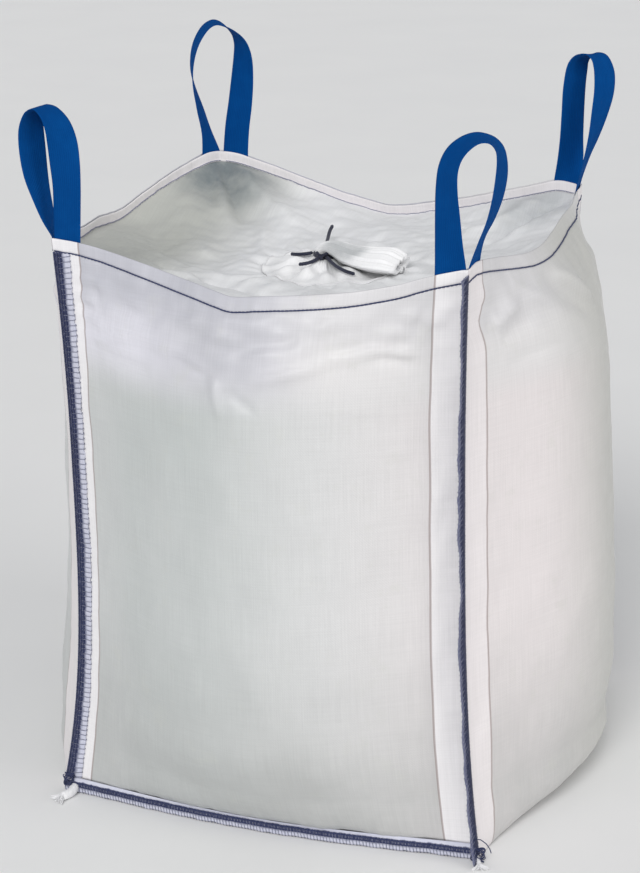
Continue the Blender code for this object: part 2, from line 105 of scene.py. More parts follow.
def smoothThrough(pairs, x):
    # Smooth curve through (x, value) pairs, level beyond both ends
    xs = np.array([p[0] for p in pairs])
    ys = np.array([p[1] for p in pairs])
    x = np.clip(np.asarray(x, float), xs[0], xs[-1])
    k = np.clip(np.searchsorted(xs, x, side="right") - 1, 0, len(xs) - 2)
    before, after = np.maximum(k - 1, 0), np.minimum(k + 2, len(xs) - 1)
    width = xs[k + 1] - xs[k]
    slope0 = (ys[k + 1] - ys[before]) / (xs[k + 1] - xs[before])
    slope1 = (ys[after] - ys[k]) / (xs[after] - xs[k])
    t = (x - xs[k]) / width
    return (
        (2 * t**3 - 3 * t**2 + 1) * ys[k] + (t**3 - 2 * t**2 + t) * width * slope0
        + (3 * t**2 - 2 * t**3) * ys[k + 1] + (t**3 - t**2) * width * slope1
    )


def throughRows(rows, at):
    # Smooth curve through rows of numbers, at row numbers that may lie between them
    rows = np.asarray(rows, float)
    keys = np.arange(len(rows))
    return np.stack([smoothThrough(list(zip(keys, rows[:, k])), at) for k in range(rows.shape[1])], -1)


def sameShape(*parts):
    return np.broadcast_arrays(*(np.asarray(part, float) for part in parts))


def together(*parts):
    # The parts in one array, side by side along its last axis
    return np.stack(sameShape(*parts), -1)


def unit(vectors):
    return vectors / np.maximum(np.linalg.norm(vectors, axis=-1, keepdims=True), 1e-12)


def ripples(u, v, size, seed, waves=11):
    # Soft random waves of about that size, between -1 and 1 or so
    dice = np.random.default_rng(seed)
    total = 0.0
    for _ in range(waves):
        turn = dice.uniform(0, 2 * np.pi)
        stretch = dice.uniform(0.65, 1.5)
        phase = dice.uniform(0, 2 * np.pi)
        away = u * np.cos(turn) + v * np.sin(turn)
        total = total + np.sin(away * 2 * np.pi / (size * stretch) + phase)
    return total / math.sqrt(waves)


def foldRelief(u, v, folds):
    # Ridges and creases: each is start, middle, end, height and width, with a soft tip at both ends
    total = np.zeros(np.broadcast(u, v).shape)
    for start, middle, end, height, width in folds:
        steps = np.linspace(0, 1, 15)[:, None]
        a, b, c = (np.array(p, float) for p in (start, middle, end))
        line = a * (1 - steps) ** 2 + 2 * b * steps * (1 - steps) + c * steps**2
        nearest = np.full(total.shape, 1e9)
        share = np.zeros(total.shape)
        for k in range(len(line) - 1):
            (x0, y0), (x1, y1) = line[k], line[k + 1]
            run = (x1 - x0) ** 2 + (y1 - y0) ** 2
            t = np.clip(((u - x0) * (x1 - x0) + (v - y0) * (y1 - y0)) / run, 0, 1)
            away = np.hypot(u - x0 - t * (x1 - x0), v - y0 - t * (y1 - y0))
            closer = away < nearest
            nearest = np.where(closer, away, nearest)
            share = np.where(closer, (k + t) / (len(line) - 1), share)
        tip = np.sin(np.pi * np.clip(share, 0.0, 1.0)) ** 0.6
        total += height * np.exp(-(nearest / width) ** 1.6) * tip
    return total


def cornerHalf(z):
    flare = bagForm["waistHalf"] + (bagForm["baseHalf"] - bagForm["waistHalf"]) * (
        np.clip(1 - z / bagForm["waistHeight"], 0, 1) ** bagForm["basePower"]
    )
    rise = np.clip((z - bagForm["waistHeight"]) / (bagForm["height"] - bagForm["waistHeight"]), 0, None)
    return flare + (bagForm["topHalf"] - bagForm["waistHalf"]) * rise**2


def bulge(side, z):
    full = smoothThrough(bagForm["leftBulge" if side == "left" else "sideBulge"], z)
    if side in ("left", "right"):
        return full * quarterRound(z / bagForm["bottomRadius"])
    swell = quarterRound((z - bagForm["seamLift"]) / bagForm["turnHeight"]) ** 1.5
    return bagForm["bulgeAtSeam"] + (full - bagForm["bulgeAtSeam"]) * swell


def slumped(points):
    # Lowers the top towards the back right corner
    nearness = np.minimum(points[..., 0], points[..., 1]) / bagForm["topHalf"]
    height = ease((points[..., 2] - bagForm["slumpFrom"]) / (bagForm["height"] - bagForm["slumpFrom"]))
    drop = bagForm["slump"] * ease((nearness - 0.2) / 0.6) * height
    return points - drop[..., None] * up


def wallPoint(side, s, z):
    # Outer face of a wall without its relief; s runs from 0 to 1 between the corners
    s, z = sameShape(s, z)
    along, out = sideWays[side]
    half = cornerHalf(z)
    across = 2 * s - 1
    reach = half + bulge(side, z) * (1 - across**2) ** bagForm["bulgePower"][side]
    return slumped((across * half)[..., None] * along + reach[..., None] * out + z[..., None] * up)


def clothAcross(s, z):
    # Metres across the cloth, true near both corner seams
    full = bagForm["clothWidth"]
    farther = ease(s)
    return full * s + (2 * cornerHalf(z) - full) * (s * (1 - farther) - (1 - s) * farther)


def baseReach(x):
    # How far the base reaches towards the front or back
    share = 1 - (x / bagForm["baseHalf"]) ** 2
    return bagForm["baseHalf"] + bagForm["bulgeAtSeam"] * share ** bagForm["bulgePower"]["front"]


def wallNormal(side, s, z):
    step = 0.002
    along = wallPoint(side, np.minimum(s + step, 1), z) - wallPoint(side, np.maximum(s - step, 0), z)
    rise = wallPoint(side, s, z + step) - wallPoint(side, s, z - step)
    return unit(np.cross(along, rise))


def rimHeight(side, s):
    return smoothThrough(rimShape[side], s)


# Creases and swells of the walls: metres across from the side's first corner, and height
wallFolds = {
    "front": (
        ((0.471, 1.065), (0.540, 1.074), (0.601, 1.091), -0.0077, 0.009),
        ((0.653, 1.070), (0.711, 1.076), (0.765, 1.085), -0.0063, 0.0081),
        ((0.742, 1.052), (0.787, 1.052), (0.823, 1.032), -0.0070, 0.0081),
        ((0.463, 0.987), (0.491, 0.965), (0.523, 0.953), -0.0074, 0.0099),
        ((0.153, 1.121), (0.204, 1.101), (0.282, 1.088), -0.0077, 0.0108),
        ((0.130, 1.005), (0.193, 1.002), (0.267, 0.998), -0.0066, 0.0108),
        ((0.097, 1.143), (0.110, 1.113), (0.126, 1.080), -0.0081, 0.0099),
        ((0.305, 1.042), (0.370, 1.032), (0.416, 1.008), -0.0070, 0.009),
        ((0.846, 1.159), (0.828, 1.122), (0.820, 1.083), -0.0059, 0.0108),
        ((0.498, 1.004), (0.589, 1.022), (0.665, 1.041), 0.0097, 0.0117),
        ((0.664, 1.048), (0.739, 1.066), (0.817, 1.058), 0.0085, 0.0099),
        ((0.425, 1.012), (0.436, 0.980), (0.443, 0.935), 0.0101, 0.0117),
        ((0.100, 1.023), (0.178, 1.050), (0.256, 1.076), 0.0097, 0.0126),
        ((0.110, 1.050), (0.153, 1.074), (0.201, 1.067), 0.0074, 0.0099),
        ((0.264, 1.048), (0.343, 1.052), (0.408, 1.018), 0.0085, 0.0108),
        ((0.330, 1.105), (0.450, 1.112), (0.560, 1.118), 0.0066, 0.0126),
        ((0.659, 0.951), (0.725, 0.952), (0.794, 0.941), 0.0016, 0.006),
        ((0.200, 0.700), (0.300, 0.500), (0.260, 0.300), 0.0030, 0.110),
    ),
    "right": (
        ((0.299, 1.150), (0.330, 1.103), (0.420, 1.045), -0.0165, 0.0144),
        ((0.343, 1.148), (0.393, 1.103), (0.480, 1.050), 0.0145, 0.018),
        ((0.560, 1.120), (0.720, 1.070), (0.850, 1.010), 0.0100, 0.070),
        ((0.075, 1.074), (0.124, 1.103), (0.193, 1.121), 0.0089, 0.0108),
        ((0.106, 1.047), (0.155, 1.078), (0.244, 1.095), -0.0081, 0.0108),
        ((0.046, 1.151), (0.052, 1.105), (0.109, 1.067), -0.0085, 0.009),
        ((0.170, 1.160), (0.210, 1.130), (0.290, 1.090), 0.0066, 0.0126),
        ((0.120, 1.000), (0.220, 1.020), (0.330, 1.010), -0.0054, 0.0108),
        ((0.086, 0.726), (0.147, 0.722), (0.210, 0.705), -0.0012, 0.006),
        ((0.070, 0.585), (0.130, 0.590), (0.180, 0.580), 0.0010, 0.006),
        ((0.500, 0.300), (0.520, 0.500), (0.500, 0.700), 0.0040, 0.180),
        ((0.200, 0.165), (0.550, 0.155), (0.900, 0.165), 0.0060, 0.055),
    ),
    "back": (
        ((0.100, 1.130), (0.250, 1.080), (0.420, 1.060), -0.0097, 0.0162),
        ((0.120, 1.100), (0.280, 1.050), (0.450, 1.030), 0.0088, 0.0162),
        ((0.830, 1.150), (0.700, 1.080), (0.520, 1.050), -0.0106, 0.0162),
        ((0.800, 1.110), (0.680, 1.050), (0.500, 1.020), 0.0097, 0.0162),
        ((0.300, 1.010), (0.460, 1.000), (0.640, 1.015), -0.0050, 0.0117),
        ((0.090, 0.980), (0.180, 0.970), (0.300, 0.960), 0.0024, 0.013),
        ((0.840, 0.970), (0.740, 0.965), (0.650, 0.950), 0.0024, 0.013),
    ),
    "left": (
        ((0.100, 1.160), (0.240, 1.110), (0.380, 1.090), -0.0116, 0.018),
        ((0.120, 1.130), (0.270, 1.070), (0.420, 1.060), 0.0106, 0.0162),
        ((0.820, 1.160), (0.700, 1.110), (0.560, 1.085), -0.0097, 0.0162),
        ((0.800, 1.120), (0.680, 1.070), (0.540, 1.055), 0.0088, 0.0162),
        ((0.350, 1.030), (0.500, 1.015), (0.640, 1.030), -0.0050, 0.0108),
        ((0.820, 0.050), (0.860, 0.200), (0.820, 0.380), 0.0055, 0.120),
    ),
}
clothRelief = {
    "lump": 0.0014, "lumpSize": 0.170,          # grit pressing from inside
    "grain": 0.00035, "grainSize": 0.045,
    "slack": 0.0034, "slackSize": 0.085,        # the empty cloth above the grit
    "slackFrom": 1.00, "slackOver": 0.10,
    "slackShare": {"front": 1.0, "right": 0.6, "back": 1.0, "left": 1.0},
    "seamPucker": 0.0013, "seamPuckerSize": 0.026, "seamPuckerReach": 0.030,
    "hemPucker": 0.0009, "hemPuckerSize": 0.030, "hemPuckerReach": 0.022,
    "hemDepth": 0.026, "hemSwell": 0.0007, "stitchGroove": 0.0012, "grooveHalf": 0.0020,
    "baseGather": 0.0016, "baseGatherSize": 0.030, "baseGatherReach": 0.030,
    "deepest": -0.0062, "deepestOverWebbing": -0.0012,
    "webbingEdge": 0.085, "webbingLength": 0.270,
}
reliefSeeds = {"front": 3, "right": 17, "back": 31, "left": 47}


def relief(side, s, z):
    # How far the cloth stands out of its plain face
    values = clothRelief
    seed = reliefSeeds[side]
    u = s * bagForm["clothWidth"]
    edge = np.minimum(s, 1 - s) * bagForm["clothWidth"]
    below = rimHeight(side, s) - z
    inner = ease((edge - 0.006) / 0.050)
    total = values["lump"] * ripples(u, z, values["lumpSize"], seed) * inner
    total = total + values["grain"] * ripples(u, z, values["grainSize"], seed + 1) * inner
    loose = ease((z - values["slackFrom"]) / values["slackOver"]) * ease((below - 0.010) / 0.060)
    slack = values["slack"] * values["slackShare"][side] * ripples(u, z * 1.6, values["slackSize"], seed + 2)
    total = total + slack * loose * inner
    pucker = ripples(edge * 0.30, z, values["seamPuckerSize"], seed + 3)
    nearSeam = np.exp(-edge / values["seamPuckerReach"]) * ease((edge - 0.002) / 0.010)
    total = total + values["seamPucker"] * pucker * nearSeam
    hemPucker = ripples(u, z * 0.35, values["hemPuckerSize"], seed + 4)
    nearHem = np.exp(-(np.abs(below - values["hemDepth"]) / values["hemPuckerReach"]) ** 1.5)
    total = total + values["hemPucker"] * hemPucker * nearHem * ease((edge - 0.004) / 0.020)
    if side in ("front", "back"):
        low = z - bagForm["seamLift"]
        drawn = ripples(u, z * 0.30, values["baseGatherSize"], seed + 5)
        nearBase = np.exp(-low / values["baseGatherReach"]) * ease(low / 0.012)
        total = total + values["baseGather"] * drawn * nearBase * inner
    total = total + foldRelief(u, z, wallFolds[side]) * ease((edge - 0.012) / 0.060) * ease(below / 0.030)
    besideCorner = ease((values["webbingEdge"] - edge) / 0.018)
    overWebbing = besideCorner * ease((z - bagForm["height"] + values["webbingLength"]) / 0.030)
    deepest = values["deepest"] + (values["deepestOverWebbing"] - values["deepest"]) * overWebbing
    total = np.where(total < 0, deepest * np.tanh(total / deepest), total)
    total = total + values["hemSwell"] * ease(below / 0.003) * ease((values["hemDepth"] - below) / 0.003)
    groove = np.exp(-((below - values["hemDepth"]) / values["grooveHalf"]) ** 2)
    return total - values["stitchGroove"] * groove


def clothPoint(side, s, z, lift=0.0):
    # Outer face of a wall with its relief, and lift above it
    s, z = sameShape(s, z)
    away = relief(side, s, z) + lift
    return wallPoint(side, s, z) + wallNormal(side, s, z) * away[..., None]


def addObject(name, data):
    item = bpy.data.objects.new(name, data)
    bpy.context.scene.collection.objects.link(item)
    return item


# The camera, at the photo's viewing angle
viewpoint = {
    "place": (1.5592, -4.1519, 2.2512),
    "turn": 21.018, "tilt": 19.245, "roll": -1.271,       # degrees
    "lens": 88.66, "sensor": 36,
}


def makeCamera():
    turn, tilt, roll = (math.radians(viewpoint[key]) for key in ("turn", "tilt", "roll"))
    onFloor = Vector((-math.sin(turn), math.cos(turn), 0))
    ahead = onFloor * math.cos(tilt) - Vector((0, 0, math.sin(tilt)))
    level = Vector((math.cos(turn), math.sin(turn), 0))
    upward = level.cross(ahead)
    right = level * math.cos(roll) + upward * math.sin(roll)
    top = upward * math.cos(roll) - level * math.sin(roll)
    camera = addObject("camera", bpy.data.cameras.new("camera"))
    camera.data.lens = viewpoint["lens"]
    camera.data.sensor_width = viewpoint["sensor"]
    turned = Matrix((right, top, -ahead)).transposed().to_4x4()
    camera.matrix_world = Matrix.Translation(viewpoint["place"]) @ turned
    bpy.context.scene.camera = camera


makeCamera()
print("camera placed")


# Materials

def newMaterial(name, roughness, **sockets):
    material = bpy.data.materials.new(name)
    material.use_nodes = True
    shader = material.node_tree.nodes["Principled BSDF"]
    shader.inputs["Roughness"].default_value = roughness
    for socket, value in sockets.items():
        shader.inputs[socket.replace("_", " ")].default_value = value
    return material, material.node_tree, shader


def addNode(tree, kind, inputs=None, **options):
    node = tree.nodes.new(kind)
    for key, value in options.items():
        setattr(node, key, value)
    for key, value in (inputs or {}).items():
        if isinstance(value, bpy.types.NodeSocket):
            tree.links.new(value, node.inputs[key])
        else:
            node.inputs[key].default_value = value
    return node


def calculate(tree, operation, *values):
    return addNode(tree, "ShaderNodeMath", dict(enumerate(values)), operation=operation).outputs[0]


def multiply(tree, *values):
    # Product of two or more values
    product = values[0]
    for value in values[1:]:
        product = calculate(tree, "MULTIPLY", product, value)
    return product


def wave(tree, value, length):
    # Sine whose half wave has that length
    return calculate(tree, "SINE", multiply(tree, value, math.pi / length))


def ridges(tree, value, length):
    return calculate(tree, "ABSOLUTE", wave(tree, value, length))


def mixColours(tree, share, first, second):
    inputs = {0: share, 6: first, 7: second}
    return addNode(tree, "ShaderNodeMix", inputs, data_type="RGBA").outputs[2]


def coordinates(tree):
    # Place in the object, and the UV's two parts
    place = addNode(tree, "ShaderNodeTexCoord").outputs["Object"]
    uv = addNode(tree, "ShaderNodeUVMap").outputs[0]
    across, along, _ = addNode(tree, "ShaderNodeSeparateXYZ", {0: uv}).outputs
    return place, across, along


def noiseAt(tree, vector, scale, detail=3.0, roughness=0.55):
    inputs = {"Vector": vector, "Scale": scale, "Detail": detail, "Roughness": roughness}
    return addNode(tree, "ShaderNodeTexNoise", inputs).outputs["Fac"]


def remap(tree, value, low, high, toLow, toHigh, smooth=False):
    inputs = {"Value": value, "From Min": low, "From Max": high, "To Min": toLow, "To Max": toHigh}
    node = addNode(tree, "ShaderNodeMapRange", inputs)
    if smooth:
        node.interpolation_type = "SMOOTHSTEP"
    return node.outputs[0]


def addBump(tree, shader, height, strength, distance):
    node = addNode(tree, "ShaderNodeBump", {"Height": height, "Strength": strength, "Distance": distance})
    tree.links.new(node.outputs[0], shader.inputs["Normal"])


clothFinish = {
    # Painted light and shade: all colours on this line but the first, and all on the next three lines
    "white": (0.69, 0.69, 0.69, 1), "shade": (0.555, 0.585, 0.575, 1), "warm": (0.80, 0.745, 0.745, 1),
    "cool": (0.55, 0.55, 0.595, 1), "coolBright": (0.63, 0.625, 0.68, 1),
    "coolLeft": (0.80, 0.79, 0.86, 1), "coolRight": (0.76, 0.745, 0.745, 1),
    "coolUpper": (0.40, 0.41, 0.47, 1), "low": (0.45, 0.46, 0.45, 1), "farRight": (0.54, 0.54, 0.51, 1),
    "yarn": (0.27, 0.19, 0.18, 1), "dust": (0.60, 0.61, 0.55, 1), "hem": (0.86, 0.83, 0.84, 1),
    "top": (0.865, 0.87, 0.88, 1), "spout": (0.95, 0.95, 0.955, 1),
    # Painted shade: both colours on this line
    "topLeftShade": (0.50, 0.51, 0.475, 1), "spotShade": (0.18, 0.21, 0.22, 1),
    "tape": 0.0026,                                 # width of one woven tape
    "roughness": 0.40, "weaveDepth": 0.00028,
    "markerYarn": 0.0635,                           # from either edge of a panel
    "yarnHalf": (0.0013, 0.0026), "yarnShare": 0.62, "yarnWander": 0.004, "paintedLightStripShare": 0.85,
}
# Painted light and shade of the walls, in the order of mixing: colour, then spans whose shares multiply.
# A span is what it goes by, from, to, and the share at each
wallLightAndShade = {
    "below": (
        # painted shade on the left and middle of the walls below the empty cloth, uneven in blotches
        ("shade", ("x", 0.24, -0.10, 0, 1), ("z", 1.05, 0.93, 0, 1), ("x", -0.34, -0.22, 0.62, 1),
         ("blotch", 0.3, 0.7, 0.75, 1)),
        # painted warm light on the right of the walls below the empty cloth
        ("warm", ("x", 0.15, 0.50, 0, 0.85), ("z", 1.05, 0.93, 0, 1)),
        # painted shade low down on the walls, where they turn in towards the base, uneven in blotches
        ("low", ("z", 0.55, 0.08, 0, 0.8), ("blotch", 0.3, 0.7, 0.5, 1)),
    ),
    "above": (                                      # painted shade and light of the empty cloth over the grit
        # painted highlights in patches, standing in for lit wrinkles
        ("coolBright", ("patch", 0.35, 0.70, 0, 1)),
        # painted light on the left, then on the right
        ("coolLeft", ("x", -0.03, -0.25, 0, 1)),
        ("coolRight", ("x", 0.02, 0.20, 0, 1)),
        # painted shade high up on the left, under the rim
        ("coolUpper", ("z", 1.080, 1.150, 0, 0.6), ("x", 0.12, -0.12, 0, 1)),
        # more painted shade higher up
        ("cool", ("z", 1.040, 1.110, 0, 0.30)),
    ),
    "aboveSpan": (0.92, 1.04, 0, 0.9),
    # painted shade towards the back of the right wall
    "right": (("farRight", ("y", -0.26, 0.04, 0, 0.95), ("x", 0.42, 0.50, 0, 1)),),
}
topLeftShadeSpan = (-0.16, -0.40, 0, 1)                  # painted shade towards the left of the top, along x
# Painted shade on the top panel by its back corners and on the spout by its neck:
# middle, reach, strength
paintedShadeSpots = (
    ((-0.405, 0.385, 1.17), 0.18, 0.95), ((-0.430, 0.425, 1.20), 0.070, 0.85),
    ((0.350, 0.375, 1.15), 0.16, 0.50), ((0.035, -0.012, 1.125), 0.065, 0.55),
)


def mixPaintedLight(tree, colour, tints, fields):
    # Mixes in painted light and shade, one colour after another, by place
    for name, *spans in tints:
        shares = [
            remap(tree, fields[field], *span, smooth=field != "blotch") for field, *span in spans
        ]
        colour = mixColours(tree, multiply(tree, *shares), colour, clothFinish[name])
    return colour


def wallColour(tree, place):
    # White wall cloth with painted light and shade mixed over it by place
    values = clothFinish
    fields = dict(zip("xyz", addNode(tree, "ShaderNodeSeparateXYZ", {0: place}).outputs))
    fields["blotch"] = noiseAt(tree, place, 4.5, 4.0)
    fields["patch"] = noiseAt(tree, place, 7.0, 3.0)
    below = mixPaintedLight(tree, values["white"], wallLightAndShade["below"], fields)
    # the empty cloth starts from its painted shade colour
    above = mixPaintedLight(tree, values["cool"], wallLightAndShade["above"], fields)
    share = remap(tree, fields["z"], *wallLightAndShade["aboveSpan"], smooth=True)
    return mixPaintedLight(tree, mixColours(tree, share, below, above), wallLightAndShade["right"], fields)


def topColour(tree, place, part):
    values = clothFinish
    x = addNode(tree, "ShaderNodeSeparateXYZ", {0: place}).outputs[0]
    # painted shade towards the left
    share = remap(tree, x, *topLeftShadeSpan, smooth=True)
    colour = mixColours(tree, share, values[part], values["topLeftShade"])
    # painted shade in spots, by the back corners and beside the spout's neck
    for middle, reach, strength in paintedShadeSpots:
        away = addNode(tree, "ShaderNodeVectorMath", {0: place, 1: middle}, operation="DISTANCE")
        near = remap(tree, away.outputs["Value"], 0.03, reach, strength, 0.0, smooth=True)
        uneven = remap(tree, noiseAt(tree, place, 16.0, 3.0), 0.35, 0.6, 0.55, 1.0)
        colour = mixColours(tree, multiply(tree, near, uneven), colour, values["spotShade"])
    return colour


def addMarkerYarns(tree, place, across, colour, paintedLightStrip):
    # A brown yarn along both edges of a panel, with a lighter strip outside each: painted light, which lifts
    # the cloth beside the corner seams
    values = clothFinish
    wander = calculate(tree, "SUBTRACT", noiseAt(tree, place, 9.0, 1.0), 0.5)
    beside = calculate(tree, "ADD", across, multiply(tree, wander, values["yarnWander"]))
    near, far = values["markerYarn"], bagForm["clothWidth"] - values["markerYarn"]
    outside = calculate(
        tree, "MAXIMUM",
        calculate(tree, "LESS_THAN", beside, near), calculate(tree, "GREATER_THAN", beside, far),
    )
    colour = mixColours(tree, multiply(tree, outside, values["paintedLightStripShare"]), colour, paintedLightStrip)
    for spot in (near, far):
        away = calculate(tree, "ABSOLUTE", calculate(tree, "SUBTRACT", beside, spot))
        line = remap(tree, away, *values["yarnHalf"], values["yarnShare"], 0.0, smooth=True)
        colour = mixColours(tree, line, colour, values["yarn"])
    return colour


def weaveTone(tree, across, along):
    # Lighter and darker tapes, along the cloth and across it
    tape = 1 / clothFinish["tape"]
    tones = []
    for scaleAcross, scaleAlong, low, high in ((tape, 7.0, 0.955, 1.02), (7.0, tape, -0.02, 0.02)):
        stretched = addNode(tree, "ShaderNodeCombineXYZ", {
            0: multiply(tree, across, scaleAcross), 1: multiply(tree, along, scaleAlong),
        }).outputs[0]
        tones.append(remap(tree, noiseAt(tree, stretched, 1.0, 2.0), 0.3, 0.7, low, high))
    return calculate(tree, "ADD", *tones)


def weaveHeight(tree, place, across, along):
    warp, weft = (wave(tree, way, clothFinish["tape"]) for way in (across, along))
    crossing = multiply(tree, warp, weft)
    rounded = calculate(
        tree, "MAXIMUM", calculate(tree, "ABSOLUTE", warp), calculate(tree, "ABSOLUTE", weft),
    )
    weave = calculate(tree, "ADD", multiply(tree, crossing, 0.5), multiply(tree, rounded, 0.5))
    creased = noiseAt(tree, place, 120.0, 3.0)
    return calculate(tree, "ADD", multiply(tree, weave, 0.6), multiply(tree, creased, 0.8))


def clothMaterial(name, part, paintedLightStrip=None):
    # Woven tape cloth of a wall, a hem, the top or the spout. Its UV is in metres; a wall has
    # marker yarns, and strips of the given colour outside them, a painted light
    values = clothFinish
    material, tree, shader = newMaterial(
        name, values["roughness"], Sheen_Weight=0.12, Sheen_Roughness=0.4, Specular_IOR_Level=0.45,
    )
    place, across, along = coordinates(tree)
    if part == "wall":
        colour = wallColour(tree, place)
    elif part == "hem":
        colour = values["hem"]
    else:
        colour = topColour(tree, place, part)
    smudge = remap(tree, noiseAt(tree, place, 17.0, 6.0, 0.7), 0.56, 0.80, 0.0, 0.35)
    colour = mixColours(tree, smudge, colour, values["dust"])
    if part == "wall":
        colour = addMarkerYarns(tree, place, across, colour, paintedLightStrip)
    tone = weaveTone(tree, across, along)
    toned = addNode(tree, "ShaderNodeHueSaturation", {"Color": colour, "Value": tone})
    tree.links.new(toned.outputs[0], shader.inputs["Base Color"])
    addBump(tree, shader, weaveHeight(tree, place, across, along), 0.55, values["weaveDepth"])
    rough = values["roughness"]
    gloss = remap(tree, noiseAt(tree, place, 30.0, 3.0), 0.3, 0.7, rough - 0.06, rough + 0.12)
    tree.links.new(gloss, shader.inputs["Roughness"])
    return material


webFinish = {
    "blue": (0.0005, 0.062, 0.255, 1), "dark": (0.0003, 0.040, 0.175, 1), "edge": (0.001, 0.074, 0.290, 1),
    "rib": 0.0042, "pick": 0.0021, "slant": 0.9,
}


def webMaterial():
    # Blue webbing: ribs along it, picks across it, with painted shade in the grooves between them. Its UV is
    # in metres
    values = webFinish
    material, tree, shader = newMaterial("blueWebbing", 0.8, Specular_IOR_Level=0.05)
    place, across, along = coordinates(tree)
    ribs = ridges(tree, across, values["rib"])
    zigzag = calculate(tree, "PINGPONG", across, values["rib"])
    slanted = calculate(tree, "ADD", along, multiply(tree, zigzag, values["slant"]))
    picks = ridges(tree, slanted, values["pick"])
    woven = multiply(tree, ribs, calculate(tree, "ADD", multiply(tree, picks, 0.5), 0.5))
    # the grooves are mixed towards the dark colour: painted shade
    colour = mixColours(tree, remap(tree, woven, 0.0, 0.55, 0.65, 0.0), values["blue"], values["dark"])
    worn = remap(tree, noiseAt(tree, place, 26.0, 4.0), 0.45, 0.75, 0.0, 0.55)
    colour = mixColours(tree, worn, colour, values["edge"])
    tree.links.new(colour, shader.inputs["Base Color"])
    addBump(tree, shader, woven, 0.8, 0.0006)
    return material


def threadMaterial(name, colour, lighter, twist=900.0, roughness=0.6):
    material, tree, shader = newMaterial(name, roughness, Sheen_Weight=0.2, Specular_IOR_Level=0.35)
    place = addNode(tree, "ShaderNodeTexCoord").outputs["Object"]
    strands = noiseAt(tree, place, twist, 2.0)
    blotch = noiseAt(tree, place, 40.0, 3.0)
    share = multiply(
        tree, remap(tree, strands, 0.35, 0.65, 0.0, 1.0), remap(tree, blotch, 0.3, 0.7, 0.25, 1.0),
    )
    tree.links.new(mixColours(tree, share, colour, lighter), shader.inputs["Base Color"])
    addBump(tree, shader, strands, 0.6, 0.0003)
    return material


flangeFinish = {
    "navy": (0.060, 0.072, 0.17, 1), "lilac": (0.60, 0.62, 0.77, 1), "pale": (0.72, 0.72, 0.79, 1),
    "stitch": 0.0026, "uneven": 0.22,
}


def flangeMaterial(name, navyFrom, navyTo):
    # A seam's flange: dense navy thread near its root, bare doubled cloth at its edge.
    # Its UV is the share across the flange, and metres along it.
    values = flangeFinish
    material, tree, shader = newMaterial(name, 0.6, Sheen_Weight=0.15, Specular_IOR_Level=0.3)
    place, across, along = coordinates(tree)
    uneven = calculate(tree, "SUBTRACT", noiseAt(tree, place, 90.0, 2.0), 0.5)
    share = calculate(tree, "ADD", across, multiply(tree, uneven, values["uneven"]))
    ticks = ridges(tree, along, values["stitch"])
    dense = multiply(
        tree,
        remap(tree, share, navyFrom - 0.02, navyFrom + 0.08, 0.0, 1.0, smooth=True),
        remap(tree, share, navyTo - 0.12, navyTo + 0.16, 1.0, 0.0, smooth=True),
        remap(tree, ticks, 0.0, 0.6, 0.55, 1.0),
    )
    bare = mixColours(tree, noiseAt(tree, place, 60.0, 3.0), values["lilac"], values["pale"])
    tree.links.new(mixColours(tree, dense, bare, values["navy"]), shader.inputs["Base Color"])
    addBump(tree, shader, ticks, 0.6, 0.0005)
    return material


gritFinish = {
    "dark": (0.20, 0.19, 0.18, 1), "light": (0.42, 0.40, 0.37, 1), "dusty": (0.34, 0.30, 0.25, 1),
}


def gritMaterial():
    material, tree, shader = newMaterial("looseGrit", 0.9)
    place = addNode(tree, "ShaderNodeTexCoord").outputs["Object"]
    stones = addNode(tree, "ShaderNodeTexVoronoi", {"Vector": place, "Scale": 160.0})
    tint = addNode(tree, "ShaderNodeSeparateXYZ", {0: stones.outputs["Color"]}).outputs[0]
    colour = mixColours(tree, tint, gritFinish["dark"], gritFinish["light"])
    colour = mixColours(tree, noiseAt(tree, place, 60.0), colour, gritFinish["dusty"])
    tree.links.new(colour, shader.inputs["Base Color"])
    addBump(tree, shader, stones.outputs["Distance"], 1.0, 0.004)
    return material


# The last colour of each wall cloth is its strips': painted light beside the corner seams
frontCloth = clothMaterial("frontCloth", "wall", (0.96, 0.94, 0.95, 1))
sideCloth = clothMaterial("sideCloth", "wall", (0.86, 0.815, 0.82, 1))
hemCloth = clothMaterial("hemCloth", "hem")
topCloth = clothMaterial("topCloth", "top")
spoutCloth = clothMaterial("spoutCloth", "spout")
foldedSeamCloth = flangeMaterial("foldedSeamCloth", -0.10, 0.60)
standingSeamCloth = flangeMaterial("standingSeamCloth", -0.10, 1.06)
baseSeamCloth = flangeMaterial("baseSeamCloth", 0.20, 0.68)
blueWebbing = webMaterial()
navyThread = threadMaterial("navyThread", (0.016, 0.024, 0.085, 1), (0.045, 0.062, 0.165, 1))
whiteThread = threadMaterial("whiteThread", (0.84, 0.84, 0.86, 1), (0.96, 0.96, 0.96, 1))
greyThread = threadMaterial("greyThread", (0.17, 0.18, 0.27, 1), (0.34, 0.35, 0.44, 1))
tieMaterial = threadMaterial("tieCord", (0.008, 0.010, 0.028, 1), (0.035, 0.040, 0.075, 1), twist=500.0)
print("materials made")


# Mesh helpers

